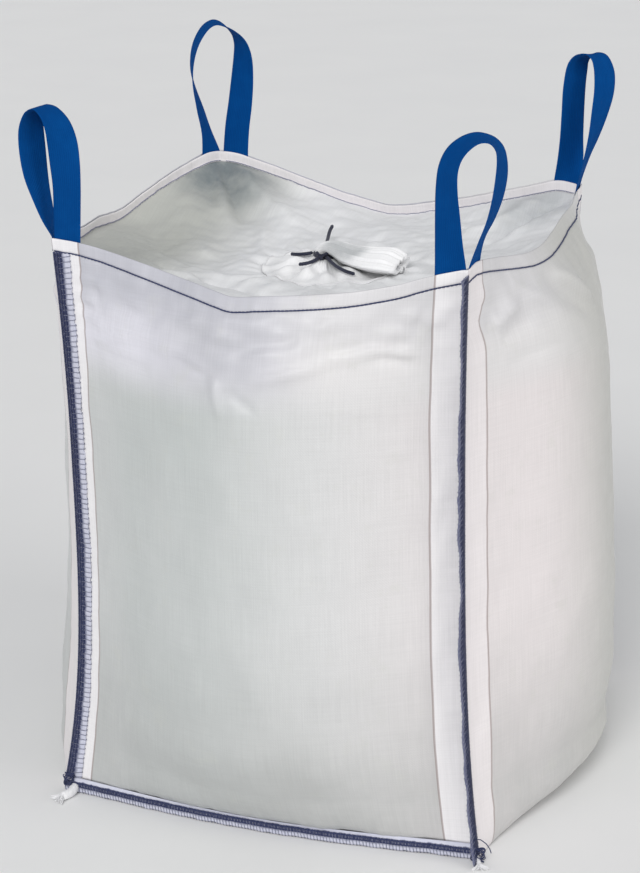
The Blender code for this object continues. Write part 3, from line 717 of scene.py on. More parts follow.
def sheetMesh(name, points, uv, material, thickness=0.0, closed=False, flip=False, offset=-1.0):
    # A grid of points (rows, columns) as a smooth sheet. A closed one joins its last column to
    # its first, and its UV then has one column more
    rows, columns = points.shape[:2]
    index = np.arange(rows * columns).reshape(rows, columns)
    first, second = (index, np.roll(index, -1, axis=1)) if closed else (index[:, :-1], index[:, 1:])
    order = (0, 3, 2, 1) if flip else (0, 1, 2, 3)
    quads = np.stack([first[:-1], second[:-1], second[1:], first[1:]], -1)[..., order]
    uvFirst, uvSecond = uv[:, :-1], uv[:, 1:]
    corners = np.stack([uvFirst[:-1], uvSecond[:-1], uvSecond[1:], uvFirst[1:]], -2)[..., order, :]
    mesh = bpy.data.meshes.new(name)
    mesh.from_pydata(points.reshape(-1, 3).tolist(), [], quads.reshape(-1, 4).tolist())
    layer = mesh.uv_layers.new(name="metres")
    layer.data.foreach_set("uv", corners.reshape(-1).astype(np.float32))
    mesh.shade_smooth()
    mesh.materials.append(material)
    item = addObject(name, mesh)
    if thickness:
        shell = item.modifiers.new("thickness", "SOLIDIFY")
        shell.thickness = thickness
        shell.offset = offset
    return item


def threadCurve(name, runs, radius, material, resolution=0):
    # Thread or cord along one or more runs of points
    curve = bpy.data.curves.new(name, "CURVE")
    curve.dimensions = "3D"
    curve.bevel_depth = radius
    curve.bevel_resolution = resolution
    curve.use_fill_caps = True
    for run in runs:
        spline = curve.splines.new("POLY")
        spline.points.add(len(run) - 1)
        spline.points.foreach_set("co", np.c_[run, np.ones(len(run))].astype(np.float32).ravel())
        spline.use_smooth = True
    curve.materials.append(material)
    return addObject(name, curve)


def finishPiece(item, slotName, *nodes):
    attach(item, "root")
    if nodes:
        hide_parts(*nodes)


def sewThread(name, runs, radius, material, resolution=0):
    finishPiece(threadCurve(name, runs, radius, material, resolution), "seam_thread")


# The top's form, and the tie's free ends, which lie over the gathered cloth round the spout
topForm = {
    "dishCentre": 1.085, "dishPower": 2.2, "spoutRadius": 0.150, "neck": (-0.015, 0.0, 1.112),
    "neckRadius": 0.020, "neckDrop": 0.004, "rosettePower": 1.6, "pleatHeight": 0.006,
    "skirtFrom": 0.070, "skirtTo": 0.112,
}
tieTails = {
    "diameter": 0.008, "strands": 3, "twistLength": 0.019, "groove": 0.0007,
    "tipLift": {"back": 0.026}, "overPleats": 0.0015, "stepsBetween": 4,
    "lengths": {"back": 0.182, "left": 0.058, "right": 0.108, "front": 0.058},
    "routes": {
        "back": (
            (-0.0235, 0.0260), (-0.030, 0.044), (-0.038, 0.068), (-0.047, 0.095),
            (-0.056, 0.123), (-0.064, 0.152), (-0.070, 0.178), (-0.072, 0.200),
        ),
        "left": (
            (-0.0417, -0.0030), (-0.056, -0.005), (-0.070, -0.003), (-0.084, 0.003), (-0.097, 0.011),
        ),
        "right": (
            (-0.0030, -0.0250), (0.010, -0.040), (0.026, -0.056), (0.044, -0.070),
            (0.063, -0.081), (0.083, -0.088),
        ),
        "front": (
            (-0.0169, -0.0269), (-0.019, -0.042), (-0.025, -0.055), (-0.036, -0.065), (-0.049, -0.070),
        ),
    },
}


def rosetteHeight(x, y):
    # Top of the gathered cloth between the spout's seam circle and its neck
    neck = topForm["neck"]
    share = np.minimum(np.hypot(x - neck[0], y - neck[1]) / topForm["spoutRadius"], 1.0)
    rise = neck[2] - topForm["neckDrop"] - topForm["dishCentre"]
    return topForm["dishCentre"] + rise * (1 - share) ** topForm["rosettePower"]


def tailRoute(places, tipLift):
    steps = tieTails["stepsBetween"]
    at = np.arange((len(places) - 1) * steps + 1) / steps
    x, y = throughRows(places, at).T
    overPleats = topForm["pleatHeight"] + tieTails["overPleats"] + 0.5 * tieTails["diameter"]
    return together(x, y, rosetteHeight(x, y) + overPleats + tipLift * (at / at[-1]) ** 1.6)


def ropeMesh(name, route, radius, material, strands, twistLength, groove, stepsBetween=5, sides=21):
    # A laid cord along a route: its strands stand out of a round section and twist along it
    fine = np.linspace(0, len(route) - 1, (len(route) - 1) * stepsBetween + 1)
    centre = throughRows(route, fine)
    tangent = unit(np.gradient(centre, axis=0))
    side = unit(np.cross(tangent, up))
    over = np.cross(side, tangent)
    run = np.r_[0, np.cumsum(np.linalg.norm(np.diff(centre, axis=0), axis=1))]
    angle = np.linspace(0, 2 * np.pi, sides, endpoint=False)
    twist = strands * (angle[None] - 2 * np.pi * run[:, None] / twistLength)
    taper = np.sqrt(np.clip(np.minimum(run, run[-1] - run) / (0.7 * radius), 0.02, 1))
    size = (radius - groove * (1 - np.abs(np.cos(0.5 * twist)))) * taper[:, None]
    sideways = side[:, None] * (np.cos(angle) * size)[..., None]
    points = centre[:, None] + sideways + over[:, None] * (np.sin(angle) * size)[..., None]
    uv = np.stack(np.meshgrid(np.linspace(0, 0.025, sides + 1), run), -1)
    rope = sheetMesh(name, points, uv, material, closed=True)
    capEnds(rope, len(centre), sides)
    return rope, centre


def capEnds(item, rows, sides):
    # Closes the first and last rings of a tube
    shape = bmesh.new()
    shape.from_mesh(item.data)
    shape.verts.ensure_lookup_table()
    shape.faces.new([shape.verts[k] for k in range(sides)])
    shape.faces.new([shape.verts[(rows - 1) * sides + k] for k in reversed(range(sides))])
    bmesh.ops.recalc_face_normals(shape, faces=shape.faces)
    shape.to_mesh(item.data)
    shape.free()


def makeTieTails():
    for name, places in tieTails["routes"].items():
        route = tailRoute(places, tieTails["tipLift"].get(name, 0.0))
        tail, centre = ropeMesh(
            "tie_tail_" + name, route, 0.5 * tieTails["diameter"], tieMaterial,
            tieTails["strands"], tieTails["twistLength"], tieTails["groove"],
        )
        finishPiece(tail, "tie_cord", "tie_end_" + name)


makeTieTails()
print("tie tails made")


# Walls: the front and back panels, and the U-shaped one that makes both sides and the base
wallBuild = {
    "thickness": 0.0007, "setback": 0.0010, "foldRadius": 0.0009,
    "steps": {                                      # columns, rows
        "front": (0.0072, 0.0076), "back": (0.0082, 0.0088), "u": (0.0080, 0.0086),
    },
    "frontDrift": (0.015, 0.09, 0.10),              # of the front's right marker yarn at the floor
    "yarnPull": (0.031, 1.103, 0.032, 0.10),        # of the right side's front one: reach, height, spans
    "turnSteps": 15, "floorLiftReach": 0.0035,
}
turnedInDrops = (0.0255, 0.019, 0.012, 0.006, 0.002)
hemRows = (
    0.0008, 0.0020, 0.005, 0.010, 0.015, 0.020, 0.0235, 0.025, 0.026, 0.027, 0.0285, 0.032, 0.038,
    0.046, 0.055,
)
baseShares = (0.97, 0.90, 0.81, 0.72, 0.60, 0.48, 0.36, 0.24, 0.12, 0.0)


def columnShares(step):
    setback = wallBuild["setback"] / bagForm["clothWidth"]
    near = np.array((1.0, 2.2, 4.0, 6.5, 9.5)) * setback
    middle = np.linspace(near[-1] + 0.006, 1 - near[-1] - 0.006, round(0.9 / step))
    return np.r_[near, middle, 1 - near[::-1]]


def wallRows(side, s, lowest, step):
    # Points and UV of one wall, from the turned-in end of its hem over the rim and down to lowest
    rim = rimHeight(side, s)
    radius = wallBuild["foldRadius"]
    turnedIn = []
    for drop in turnedInDrops:
        turnedIn.append((clothPoint(side, s, rim - drop, -2 * radius), rim + drop))
    turnedIn.append((clothPoint(side, s, rim, -radius), rim))
    outside = [(clothPoint(side, s, rim - drop), rim - drop) for drop in hemRows]
    start = rim - hemRows[-1]
    count = round((1.13 - lowest) / step)
    for k in range(1, count + 1):
        z = start + (lowest - start) * k / count
        outside.append((clothPoint(side, s, z), z))
    rows = turnedIn + outside
    points = np.stack([row[0] for row in rows])
    uv = np.stack([together(clothAcross(s, height), height) for _, height in rows])
    return points, uv


def makeFrontOrBack(side):
    columnStep, rowStep = wallBuild["steps"][side]
    s = columnShares(columnStep)
    points, uv = wallRows(side, s, bagForm["seamLift"] + wallBuild["setback"], rowStep)
    if side == "front":
        drift, high, wide = wallBuild["frontDrift"]
        uv[..., 0] += drift * np.exp(-uv[..., 1] / high) * np.exp((s - 1) / wide)
    panel = sheetMesh(side + "_panel_cloth", points, uv, frontCloth, wallBuild["thickness"], flip=True)
    finishPiece(panel, "woven_cloth", side + "_panel")
    print(side, "panel made:", len(panel.data.polygons), "faces")


def makeUPanel():
    columnStep, rowStep = wallBuild["steps"]["u"]
    s = columnShares(columnStep)
    lowest = bagForm["bottomRadius"]
    rightPoints, rightUv = wallRows("right", s, lowest, rowStep)
    pull, height, high, wide = wallBuild["yarnPull"]
    rightUv[..., 0] += pull * np.exp(-((rightUv[..., 1] - height) / high) ** 2) * np.exp(-s / wide)
    leftPoints, leftUv = wallRows("left", s[::-1], lowest, rowStep)
    leftUv[..., 0] = bagForm["clothWidth"] - leftUv[..., 0]
    edge = np.minimum(s, 1 - s) * bagForm["clothWidth"]
    nearEdge = np.exp(-((edge - edge[0]) / wallBuild["floorLiftReach"]) ** 2)
    floorLift = (bagForm["seamLift"] - 0.002) * nearEdge

    def turn(side, shares):
        made = []
        for step in range(1, wallBuild["turnSteps"]):
            angle = 0.5 * math.pi * step / wallBuild["turnSteps"]
            z = floorLift + (lowest - floorLift) * (1 - math.sin(angle))
            made.append(clothPoint(side, shares, z))
        return np.stack(made)

    across = 2 * s - 1
    shares = np.r_[baseShares, -np.array(baseShares[-2::-1])]
    x = shares[:, None] * bagForm["baseHalf"]
    base = together(x, across * baseReach(x), floorLift[None])
    rightTurn, leftTurn = turn("right", s), turn("left", s[::-1])
    points = np.concatenate([rightPoints, rightTurn, base, leftTurn[::-1], leftPoints[::-1]])
    points[..., 2] = np.maximum(points[..., 2], 0.0)
    run = np.linspace(0.09, -1.10, len(rightTurn) + len(base) + len(leftTurn))
    middleUv = together(clothAcross(s, 0.0), run[:, None])
    uv = np.concatenate([rightUv, middleUv, leftUv[::-1] * (1, -1) - (0, 1.0)])
    panel = sheetMesh("u_panel_cloth", points, uv, sideCloth, wallBuild["thickness"], flip=True)
    finishPiece(panel, "woven_cloth", "u_panel")
    print("U panel made:", len(panel.data.polygons), "faces")


makeFrontOrBack("front")
makeFrontOrBack("back")
makeUPanel()


# Navy stitches along the hem, outside and in
hemStitches = {
    "length": 0.0085,
    "radius": 0.0015, "span": (0.004, 0.996), "rowLength": 0.95, "lift": 0.0004,
    "innerRadius": 0.0011, "innerSpan": (0.012, 0.988), "innerRowLength": 0.93, "innerLift": 0.0032,
}


def stitchRun(place, start, end, length, radius, stretch):
    # A row of stitches between two shares: each rises from its needle hole and dips into the next.
    # place(share, lift) gives points; stretch is the row's length in metres.
    count = max(2, round(abs(end - start) * stretch / length))
    at = np.linspace(0, 1, count * 4 + 1)
    rise = np.tile((-0.5, 0.75, 0.95, 0.75), count)
    rise = np.r_[rise, -0.5] * radius
    return place(start + (end - start) * at, rise)


def makeHemStitches():
    depth = clothRelief["hemDepth"]
    outer = []
    radius = hemStitches["radius"]
    for side in sideWays:
        def place(s, lift):
            return clothPoint(side, s, rimHeight(side, s) - depth, lift + hemStitches["lift"])

        outer.append(
            stitchRun(place, *hemStitches["span"], hemStitches["length"], radius, hemStitches["rowLength"])
        )
    sewThread("hem_stitches", outer, radius, navyThread, 1)


makeHemStitches()
print("hem stitches made")


# Sewn seams: a flange of doubled cloth with overlock thread round its edge and two needle lines
seamBuild = {
    "width": 0.038, "rootGap": 0.0006, "thick": 0.0018, "foldGap": 0.0008, "centre": 0.0020,
    "lean": {"fr": 1.0, "bl": 0.50}, "folded": ("fl", "br"), "rootShare": 0.20, "rootLap": 0.0036,
    "topDrop": {"fl": 0.021, "fr": 0.006, "br": 0.021, "bl": 0.006},
    "threadRadius": 0.0008, "needleRadius": 0.0013, "needleStitch": 0.0065, "lowest": 0.0014,
    "low": {"folded": 0.030, "standing": 0.004}, "baseEnd": 0.006, "rows": {"corner": 150, "base": 120},
    "edgeDrift": 0.0022, "freeShare": 0.9954, "ragged": 0.035, "raggedSize": 0.016, "columns": 13,
    "waves": {"folded": (0.0006, 0.05), "standing": (0.0022, 0.085), "base": (0.0008, 0.060)},
}
# For each kind: where its needle lines run, and its overlock threads' pitch, from, to and thread
seamStitches = {
    "folded": {"cloth": foldedSeamCloth, "needleLines": (0.08, 0.26, 0.44),
               "overlock": ((0.0030, 0.03, 0.55, navyThread), (0.0110, 0.30, 1.04, greyThread))},
    "standing": {"cloth": standingSeamCloth, "needleLines": (0.08, 0.30, 0.55),
                 "overlock": ((0.0030, 0.03, 0.76, navyThread), (0.0110, 0.50, 1.04, greyThread))},
    "base": {"cloth": baseSeamCloth, "needleLines": (0.34, 0.58),
             "overlock": ((0.0034, 0.24, 0.66, navyThread), (0.0070, 0.40, 1.05, greyThread))},
}
cornerHeadings = {
    name: sum(sideWays[side][1] for side in pair) for name, pair in cornerSides.items()
}


def cornerFlangePoint(corner, across, z, lift):
    # A point of a corner seam's flange: across from its root (0) to its edge (1), and lift off its middle
    across, z, lift = sameShape(across, z, lift)
    first, second = cornerSides[corner]
    if corner in seamBuild["folded"]:
        share = (seamBuild["rootGap"] + across * seamBuild["width"]) / (2 * cornerHalf(z))
        startsLow = np.dot(sideWays[first][0], sideWays[second][1]) < 0
        share = share if startsLow else 1 - share
        high, size = seamBuild["waves"]["folded"]
        waving = high * across * ripples(z, across * 0.01, size, 61)
        return clothPoint(first, share, z, seamBuild["foldGap"] + seamBuild["centre"] * 0.55 + lift + waving)
    lean = seamBuild["lean"][corner]
    heading = sideWays[first][1] * lean + sideWays[second][1] * (1 - lean)
    heading = heading / np.linalg.norm(heading)
    face = np.cross(heading, up)
    root = slumped(cornerHeadings[corner] * cornerHalf(z)[..., None] + z[..., None] * up)
    high, size = seamBuild["waves"]["standing"]
    waving = high * across**1.5 * ripples(z, across * 0.01, size, 67)
    reach = seamBuild["rootGap"] + across * seamBuild["width"]
    return root + heading * reach[..., None] + face * (lift + waving)[..., None]


def baseFlangePoint(side, across, x, lift):
    # The same for the front or back bottom seam, whose flange hangs from its root to the floor
    across, x, lift = sameShape(across, x, lift)
    along, out = sideWays[side]
    rootHeight = bagForm["seamLift"] + seamBuild["rootLap"]
    share = 0.5 + 0.5 * np.clip(x / cornerHalf(rootHeight), -1, 1)
    wall = wallPoint(side, share, rootHeight) @ out + 0.5 * seamBuild["thick"] + bagForm["gap"]
    drift = seamBuild["edgeDrift"] * across
    free = baseReach(x) * seamBuild["freeShare"] + bagForm["gap"] + seamBuild["centre"] + drift
    hangs = ease(across / seamBuild["rootShare"])
    reach = wall + (free - wall) * hangs
    high, size = seamBuild["waves"]["base"]
    waving = high * across * ripples(x, across * 0.01, size, 71 + reliefSeeds[side])
    z = np.maximum(rootHeight * (1 - across) + drift, seamBuild["lowest"])
    return x[..., None] * along + (reach + lift + waving)[..., None] * out + z[..., None] * up


def overlockPath(place, start, end, count, lap, reach, half):
    # Thread that goes across the flange's face from lap to reach and back on its other face
    step = (end - start) / count
    r = seamBuild["threadRadius"]
    middle = 0.5 * (lap + reach)
    stitch = np.array((                         # along, across, lift
        (0.00, lap, half + r), (0.25, middle, half + r), (0.45, reach - 0.04, half + r),
        (0.52, reach, 0.0), (0.60, reach - 0.04, -half - r), (0.80, middle, -half - r),
        (0.95, lap, -half - r), (0.98, lap, half),
    ))
    k = np.arange(count)[:, None]
    dice = np.random.default_rng(101)
    jitter = dice.uniform(-0.12, 0.12, (count, len(stitch)))
    spread = dice.uniform(-0.02, 0.03, (count, len(stitch)))
    alongs = start + (k + stitch[:, 0] + jitter * 0.6) * step
    acrosses = stitch[:, 1] + spread
    lifts = np.broadcast_to(stitch[:, 2], alongs.shape)
    return place(acrosses.ravel(), alongs.ravel(), lifts.ravel())


def makeSeam(name, kind, place, start, end, stretch, node, rows):
    # One seam: flange cloth with a ragged edge, needle lines and overlock thread
    half = 0.5 * seamBuild["thick"]
    at = np.linspace(start, end, rows)
    across = np.linspace(0, 1, seamBuild["columns"])
    perShare = stretch / abs(end - start)
    ragged = 1 + seamBuild["ragged"] * ripples(at * perShare, 0, seamBuild["raggedSize"], 83)
    points = place(across * np.where(across > 0.9, ragged[:, None], 1.0), at[:, None], 0.0)
    cloth = seamStitches[kind]["cloth"]
    uv = together(across, at[:, None])
    flange = sheetMesh("seam_flange_" + name, points, uv, cloth, seamBuild["thick"], offset=0.0)
    finishPiece(flange, "woven_cloth", node)
    radius = seamBuild["needleRadius"]
    lines = []
    for share in seamStitches[kind]["needleLines"]:
        def onLine(t, lift):
            return place(share, t, half + lift + 0.3 * radius)
        lines.append(stitchRun(onLine, start, end, seamBuild["needleStitch"], radius, perShare))
    sewThread("seam_needle_lines_" + name, lines, radius, navyThread)
    for k, (pitch, lap, reach, thread) in enumerate(seamStitches[kind]["overlock"]):
        path = overlockPath(place, start, end, round(stretch / pitch), lap, reach, half)
        sewThread("seam_overlock_%s_%d" % (name, k), [path], seamBuild["threadRadius"], thread)


def makeSeams():
    for corner in cornerSides:
        kind = "folded" if corner in seamBuild["folded"] else "standing"
        low = seamBuild["low"][kind]
        top = bagForm["height"] - seamBuild["topDrop"][corner]
        rows = seamBuild["rows"]["corner"]

        def place(across, z, lift):
            return cornerFlangePoint(corner, across, z, lift)

        makeSeam(corner, kind, place, low, top, top - low, "corner_seam_" + corner, rows)
    end = bagForm["baseHalf"] - seamBuild["baseEnd"]
    rows = seamBuild["rows"]["base"]
    for side in ("front", "back"):
        def place(across, x, lift):
            return baseFlangePoint(side, across, x, lift)

        makeSeam("base_" + side, "base", place, -end, end, 2 * end, "base_seam_" + side, rows)


makeSeams()
print("seams made")


# Loose ends at the front's bottom corners: frayed filler cord and tangled navy thread
cornerEnds = {
    "tails": {              # route on the floor, radius
        "fl": ((
            (-0.441, -0.470, 0.0135), (-0.438, -0.484, 0.0120), (-0.439, -0.498, 0.0104),
            (-0.444, -0.511, 0.0102), (-0.450, -0.522, 0.0102),
        ), 0.0100),
        "fr": ((
            (0.466, -0.476, 0.012), (0.470, -0.484, 0.0090), (0.474, -0.491, 0.0065), (0.478, -0.499, 0.006),
        ), 0.0052),
    },
    "fibres": 60, "fibreRadius": 0.0011, "fibreLength": 0.019,
    "tangles": {            # middle, reach along x, y and z
        "fl": ((-0.452, -0.477, 0.030), (0.011, 0.005, 0.013)),
        "fr": ((0.470, -0.481, 0.018), (0.014, 0.006, 0.013)),
    },
    "tangleTurns": 9, "tangleRadius": 0.0011,
    "loop": (
        (0.459, -0.476, 0.046), (0.466, -0.481, 0.052), (0.476, -0.481, 0.052), (0.486, -0.477, 0.043),
        (0.492, -0.472, 0.030), (0.494, -0.468, 0.018),
    ),
}


def makeCornerEnds():
    values = cornerEnds
    dice = np.random.default_rng(149)
    for corner, (route, radius) in values["tails"].items():
        path = throughRows(route, np.linspace(0, len(route) - 1, 14))
        tail, _ = ropeMesh("filler_cord_tail_" + corner, path, radius, whiteThread, 3, 0.030, 0.0008, 2, 21)
        finishPiece(tail, "seam_thread")
        onward = unit(path[-1] - path[-3])
        sideways = np.cross(onward, up)
        frays = []
        for _ in range(values["fibres"]):
            spread = dice.uniform(-1, 1, 2)
            start = path[-2] + sideways * spread[0] * radius * 0.7 + up * spread[1] * radius * 0.6
            length = values["fibreLength"] * dice.uniform(0.4, 1.0)
            t = np.linspace(0, 1, 7)[:, None]
            run = start + (onward + sideways * spread[0] * 0.9 * t) * length * t
            run[:, 2] = np.maximum(run[:, 2] - 0.002 * t[:, 0] ** 2, values["fibreRadius"])
            frays.append(run)
        sewThread("frayed_fibres_" + corner, frays, values["fibreRadius"], whiteThread)
    for corner, (middle, reach) in values["tangles"].items():
        t = np.linspace(0, 2 * np.pi, 220)
        turns = values["tangleTurns"]
        coil = together(
            np.sin(turns * t + np.sin(2 * t)), np.cos(3 * t + 1.0), np.cos((turns - 2) * t + 0.7),
        )
        knots = [middle + coil * reach]
        if corner == "fr":
            knots.append(np.array(values["loop"]))
        sewThread("thread_tangle_" + corner, knots, values["tangleRadius"], navyThread)


makeCornerEnds()
print("loose thread ends made")


# Lifting loops. A station is the webbing's middle from the corner's top, and the direction across it
loopBuild = {
    "width": 0.060, "thick": 0.0022, "fromCorner": 0.035, "leg": 0.235, "between": 5, "columns": 27,
    "ribHeight": 0.00022, "rib": 0.0042, "ribbedShare": 0.93, "edgePower": 14, "cupping": 0.0012,
    "legRows": 8,
}
loopStations = {
    "fl": (
        (0.038, 0.001, 0.061, -1.00, 0.01, 0.04), (0.040, 0.002, 0.113, -1.00, -0.07, -0.00),
        (0.038, 0.004, 0.160, -0.95, -0.31, -0.04), (0.034, 0.006, 0.200, -0.76, -0.64, -0.11),
        (0.026, 0.006, 0.233, -0.46, -0.86, -0.21), (0.012, 0.004, 0.257, -0.12, -0.97, -0.22),
        (-0.003, 0.001, 0.269, 0.04, -1.00, -0.04), (-0.012, -0.001, 0.268, -0.01, -1.00, 0.09),
        (-0.021, -0.003, 0.257, -0.21, -0.97, 0.13), (-0.029, -0.002, 0.228, -0.45, -0.89, 0.00),
        (-0.032, 0.004, 0.183, -0.53, -0.84, -0.10), (-0.031, 0.010, 0.136, -0.41, -0.90, -0.17),
        (-0.026, 0.018, 0.091, -0.15, -0.97, -0.18), (-0.018, 0.025, 0.047, 0.07, -0.98, -0.16),
    ),
    "fr": (
        (-0.037, -0.005, 0.056, 0.97, -0.23, 0.01), (-0.038, -0.009, 0.106, 0.93, -0.37, -0.00),
        (-0.039, -0.011, 0.153, 0.87, -0.50, -0.03), (-0.036, -0.011, 0.193, 0.80, -0.59, -0.12),
        (-0.026, -0.007, 0.221, 0.69, -0.69, -0.22), (-0.009, -0.000, 0.240, 0.55, -0.80, -0.24),
        (0.012, 0.009, 0.251, 0.44, -0.88, -0.17), (0.031, 0.018, 0.249, 0.37, -0.92, -0.13),
        (0.045, 0.025, 0.237, 0.22, -0.96, -0.17), (0.052, 0.030, 0.216, 0.01, -0.99, -0.15),
        (0.052, 0.034, 0.179, -0.12, -0.99, -0.07), (0.045, 0.036, 0.136, -0.11, -0.99, -0.01),
        (0.032, 0.037, 0.094, -0.03, -1.00, 0.02), (0.013, 0.035, 0.050, 0.05, -1.00, 0.00),
    ),
    "br": (
        (-0.029, 0.003, 0.050, 0.84, 0.53, -0.08), (-0.027, 0.003, 0.101, 0.70, 0.71, -0.02),
        (-0.025, 0.002, 0.158, 0.66, 0.75, 0.01), (-0.022, -0.001, 0.215, 0.65, 0.76, -0.01),
        (-0.016, -0.002, 0.258, 0.56, 0.80, -0.21), (-0.007, -0.001, 0.276, 0.28, 0.88, -0.37),
        (0.007, 0.002, 0.284, 0.01, 0.97, -0.23), (0.021, 0.006, 0.283, 0.03, 0.99, 0.09),
        (0.034, 0.008, 0.271, 0.31, 0.92, 0.23), (0.043, 0.008, 0.243, 0.55, 0.84, 0.05),
        (0.044, 0.003, 0.205, 0.54, 0.82, -0.17), (0.037, -0.006, 0.158, 0.38, 0.89, -0.25),
        (0.027, -0.016, 0.109, 0.15, 0.96, -0.24), (0.014, -0.026, 0.060, -0.04, 0.99, -0.17),
    ),
    "bl": (
        (0.039, 0.005, 0.064, -0.99, -0.03, 0.11), (0.046, 0.011, 0.120, -0.99, 0.03, 0.10),
        (0.051, 0.016, 0.176, -0.99, 0.16, 0.05), (0.053, 0.018, 0.227, -0.93, 0.37, -0.03),
        (0.048, 0.016, 0.262, -0.77, 0.61, -0.16), (0.033, 0.010, 0.287, -0.56, 0.82, -0.15),
        (0.008, -0.001, 0.306, -0.43, 0.90, 0.01), (-0.010, -0.009, 0.307, -0.47, 0.88, 0.11),
        (-0.029, -0.018, 0.290, -0.55, 0.82, 0.11), (-0.046, -0.027, 0.255, -0.58, 0.82, 0.01),
        (-0.053, -0.034, 0.211, -0.51, 0.86, -0.07), (-0.049, -0.037, 0.169, -0.37, 0.93, -0.10),
        (-0.035, -0.038, 0.115, -0.17, 0.98, -0.06), (-0.021, -0.038, 0.061, -0.05, 1.00, 0.00),
    ),
}


def makeLoop(corner):
    first, second = cornerSides[corner]
    out = (sideWays[first][1], sideWays[second][1])
    inward = (-out[1], -out[0])
    cornerTop = slumped((out[0] + out[1]) * bagForm["topHalf"] + up * bagForm["height"])
    half = 0.5 * loopBuild["width"]
    offsets = np.linspace(half, -half, 7)
    depth = bagForm["cloth"] + bagForm["gap"] + 0.5 * bagForm["webThick"]

    def leg(k, z):
        side = (first, second)[k]
        share = (loopBuild["fromCorner"] - offsets) / (2 * bagForm["topHalf"])
        if np.dot(sideWays[side][0], inward[k]) < 0:
            share = 1 - share
        return wallPoint(side, share, z + 0 * share) - depth * wallNormal(side, share, z + 0 * share)

    legRows = loopBuild["legRows"]
    legHeights = np.linspace(bagForm["height"] - loopBuild["leg"], bagForm["height"], legRows)
    rows = [leg(0, z) for z in legHeights]
    for x, y, z, toX, toY, toZ in loopStations[corner]:
        rows.append(cornerTop + (x, y, z) + offsets[:, None] * unit(np.array((toX, toY, toZ))))
    rows += [leg(1, z) for z in legHeights[::-1]]
    rows = np.stack(rows)

    fine = np.linspace(0, len(rows) - 1, (len(rows) - 1) * loopBuild["between"] + 1)
    smoothRows = throughRows(rows.reshape(len(rows), -1), fine).reshape(len(fine), len(offsets), 3)
    across = np.linspace(half, -half, loopBuild["columns"])
    share = (across - half) / (-2 * half) * (len(offsets) - 1)
    low = np.clip(np.floor(share).astype(int), 0, len(offsets) - 2)
    t = (share - low)[None, :, None]
    middle = smoothRows[:, low] * (1 - t) + smoothRows[:, low + 1] * t
    along = unit(np.gradient(middle, axis=0))
    sideways = unit(np.gradient(middle, axis=1))
    normal = unit(np.cross(along, sideways))
    edge = np.abs(across) / half
    body = 0.5 * loopBuild["thick"] * np.clip(1 - edge ** loopBuild["edgePower"], 0.04, 1) ** 0.5
    ribs = loopBuild["ribHeight"] * np.cos(2 * np.pi * across / loopBuild["rib"])
    height = (body + ribs * (edge < loopBuild["ribbedShare"]))[None, :, None]
    free = ease((fine - legRows - 1) / 3) * ease((len(rows) - legRows - 2 - fine) / 3)
    cup = loopBuild["cupping"] * free[:, None, None] * (edge**2 - 0.4)[None, :, None]
    faces = (middle + normal * (height + cup), (middle - normal * (height - cup))[:, ::-1])
    ring = np.concatenate(faces, 1)
    run = np.r_[0, np.cumsum(np.linalg.norm(np.diff(middle[:, len(across) // 2], axis=0), axis=1))]
    aroundUv = np.r_[across, across[::-1], across[0]] + half
    uv = together(aroundUv, run[:, None])
    loop = sheetMesh("lifting_loop_" + corner, ring, uv, blueWebbing, closed=True)
    capEnds(loop, len(ring), ring.shape[1])
    finishPiece(loop, "webbing", "lift_loop_" + corner)
    print("loop", corner, "made, webbing", round(float(run[-1]), 3), "m")


for cornerName in cornerSides:
    makeLoop(cornerName)


# Top panel, sunk inside the rim
topBuild = {
    "thickness": 0.0006, "perSide": 88, "stitchDrop": 0.024,
    "rimRows": (            # drop below the rim, and how far inside the skirt: hem band, then skirt
        (0.026, 0.003), (0.022, 0.003), (0.018, 0.003), (0.012, 0.003), (0.007, 0.003),
        (0.0035, 0.003), (0.0022, 0.0015),
        (0.0035, 0.0), (0.008, 0.0), (0.014, 0.0), (0.020, 0.0), (0.026, 0.0),
    ),
    "bandRows": 6, "dishRows": 44, "holeGap": 0.002, "underLap": 0.004,
    "broad": 0.0055, "broadSize": 0.150, "fine": 0.0018, "fineSize": 0.052, "holeLip": 0.0035,
    "pleats": (             # round the hole: height, number, sway, its number, phase, reach
        (0.0022, 23, 2.2, 3, 1.0, 0.16), (0.0016, 37, 1.4, 5, 0.0, 0.08),
    ),
}
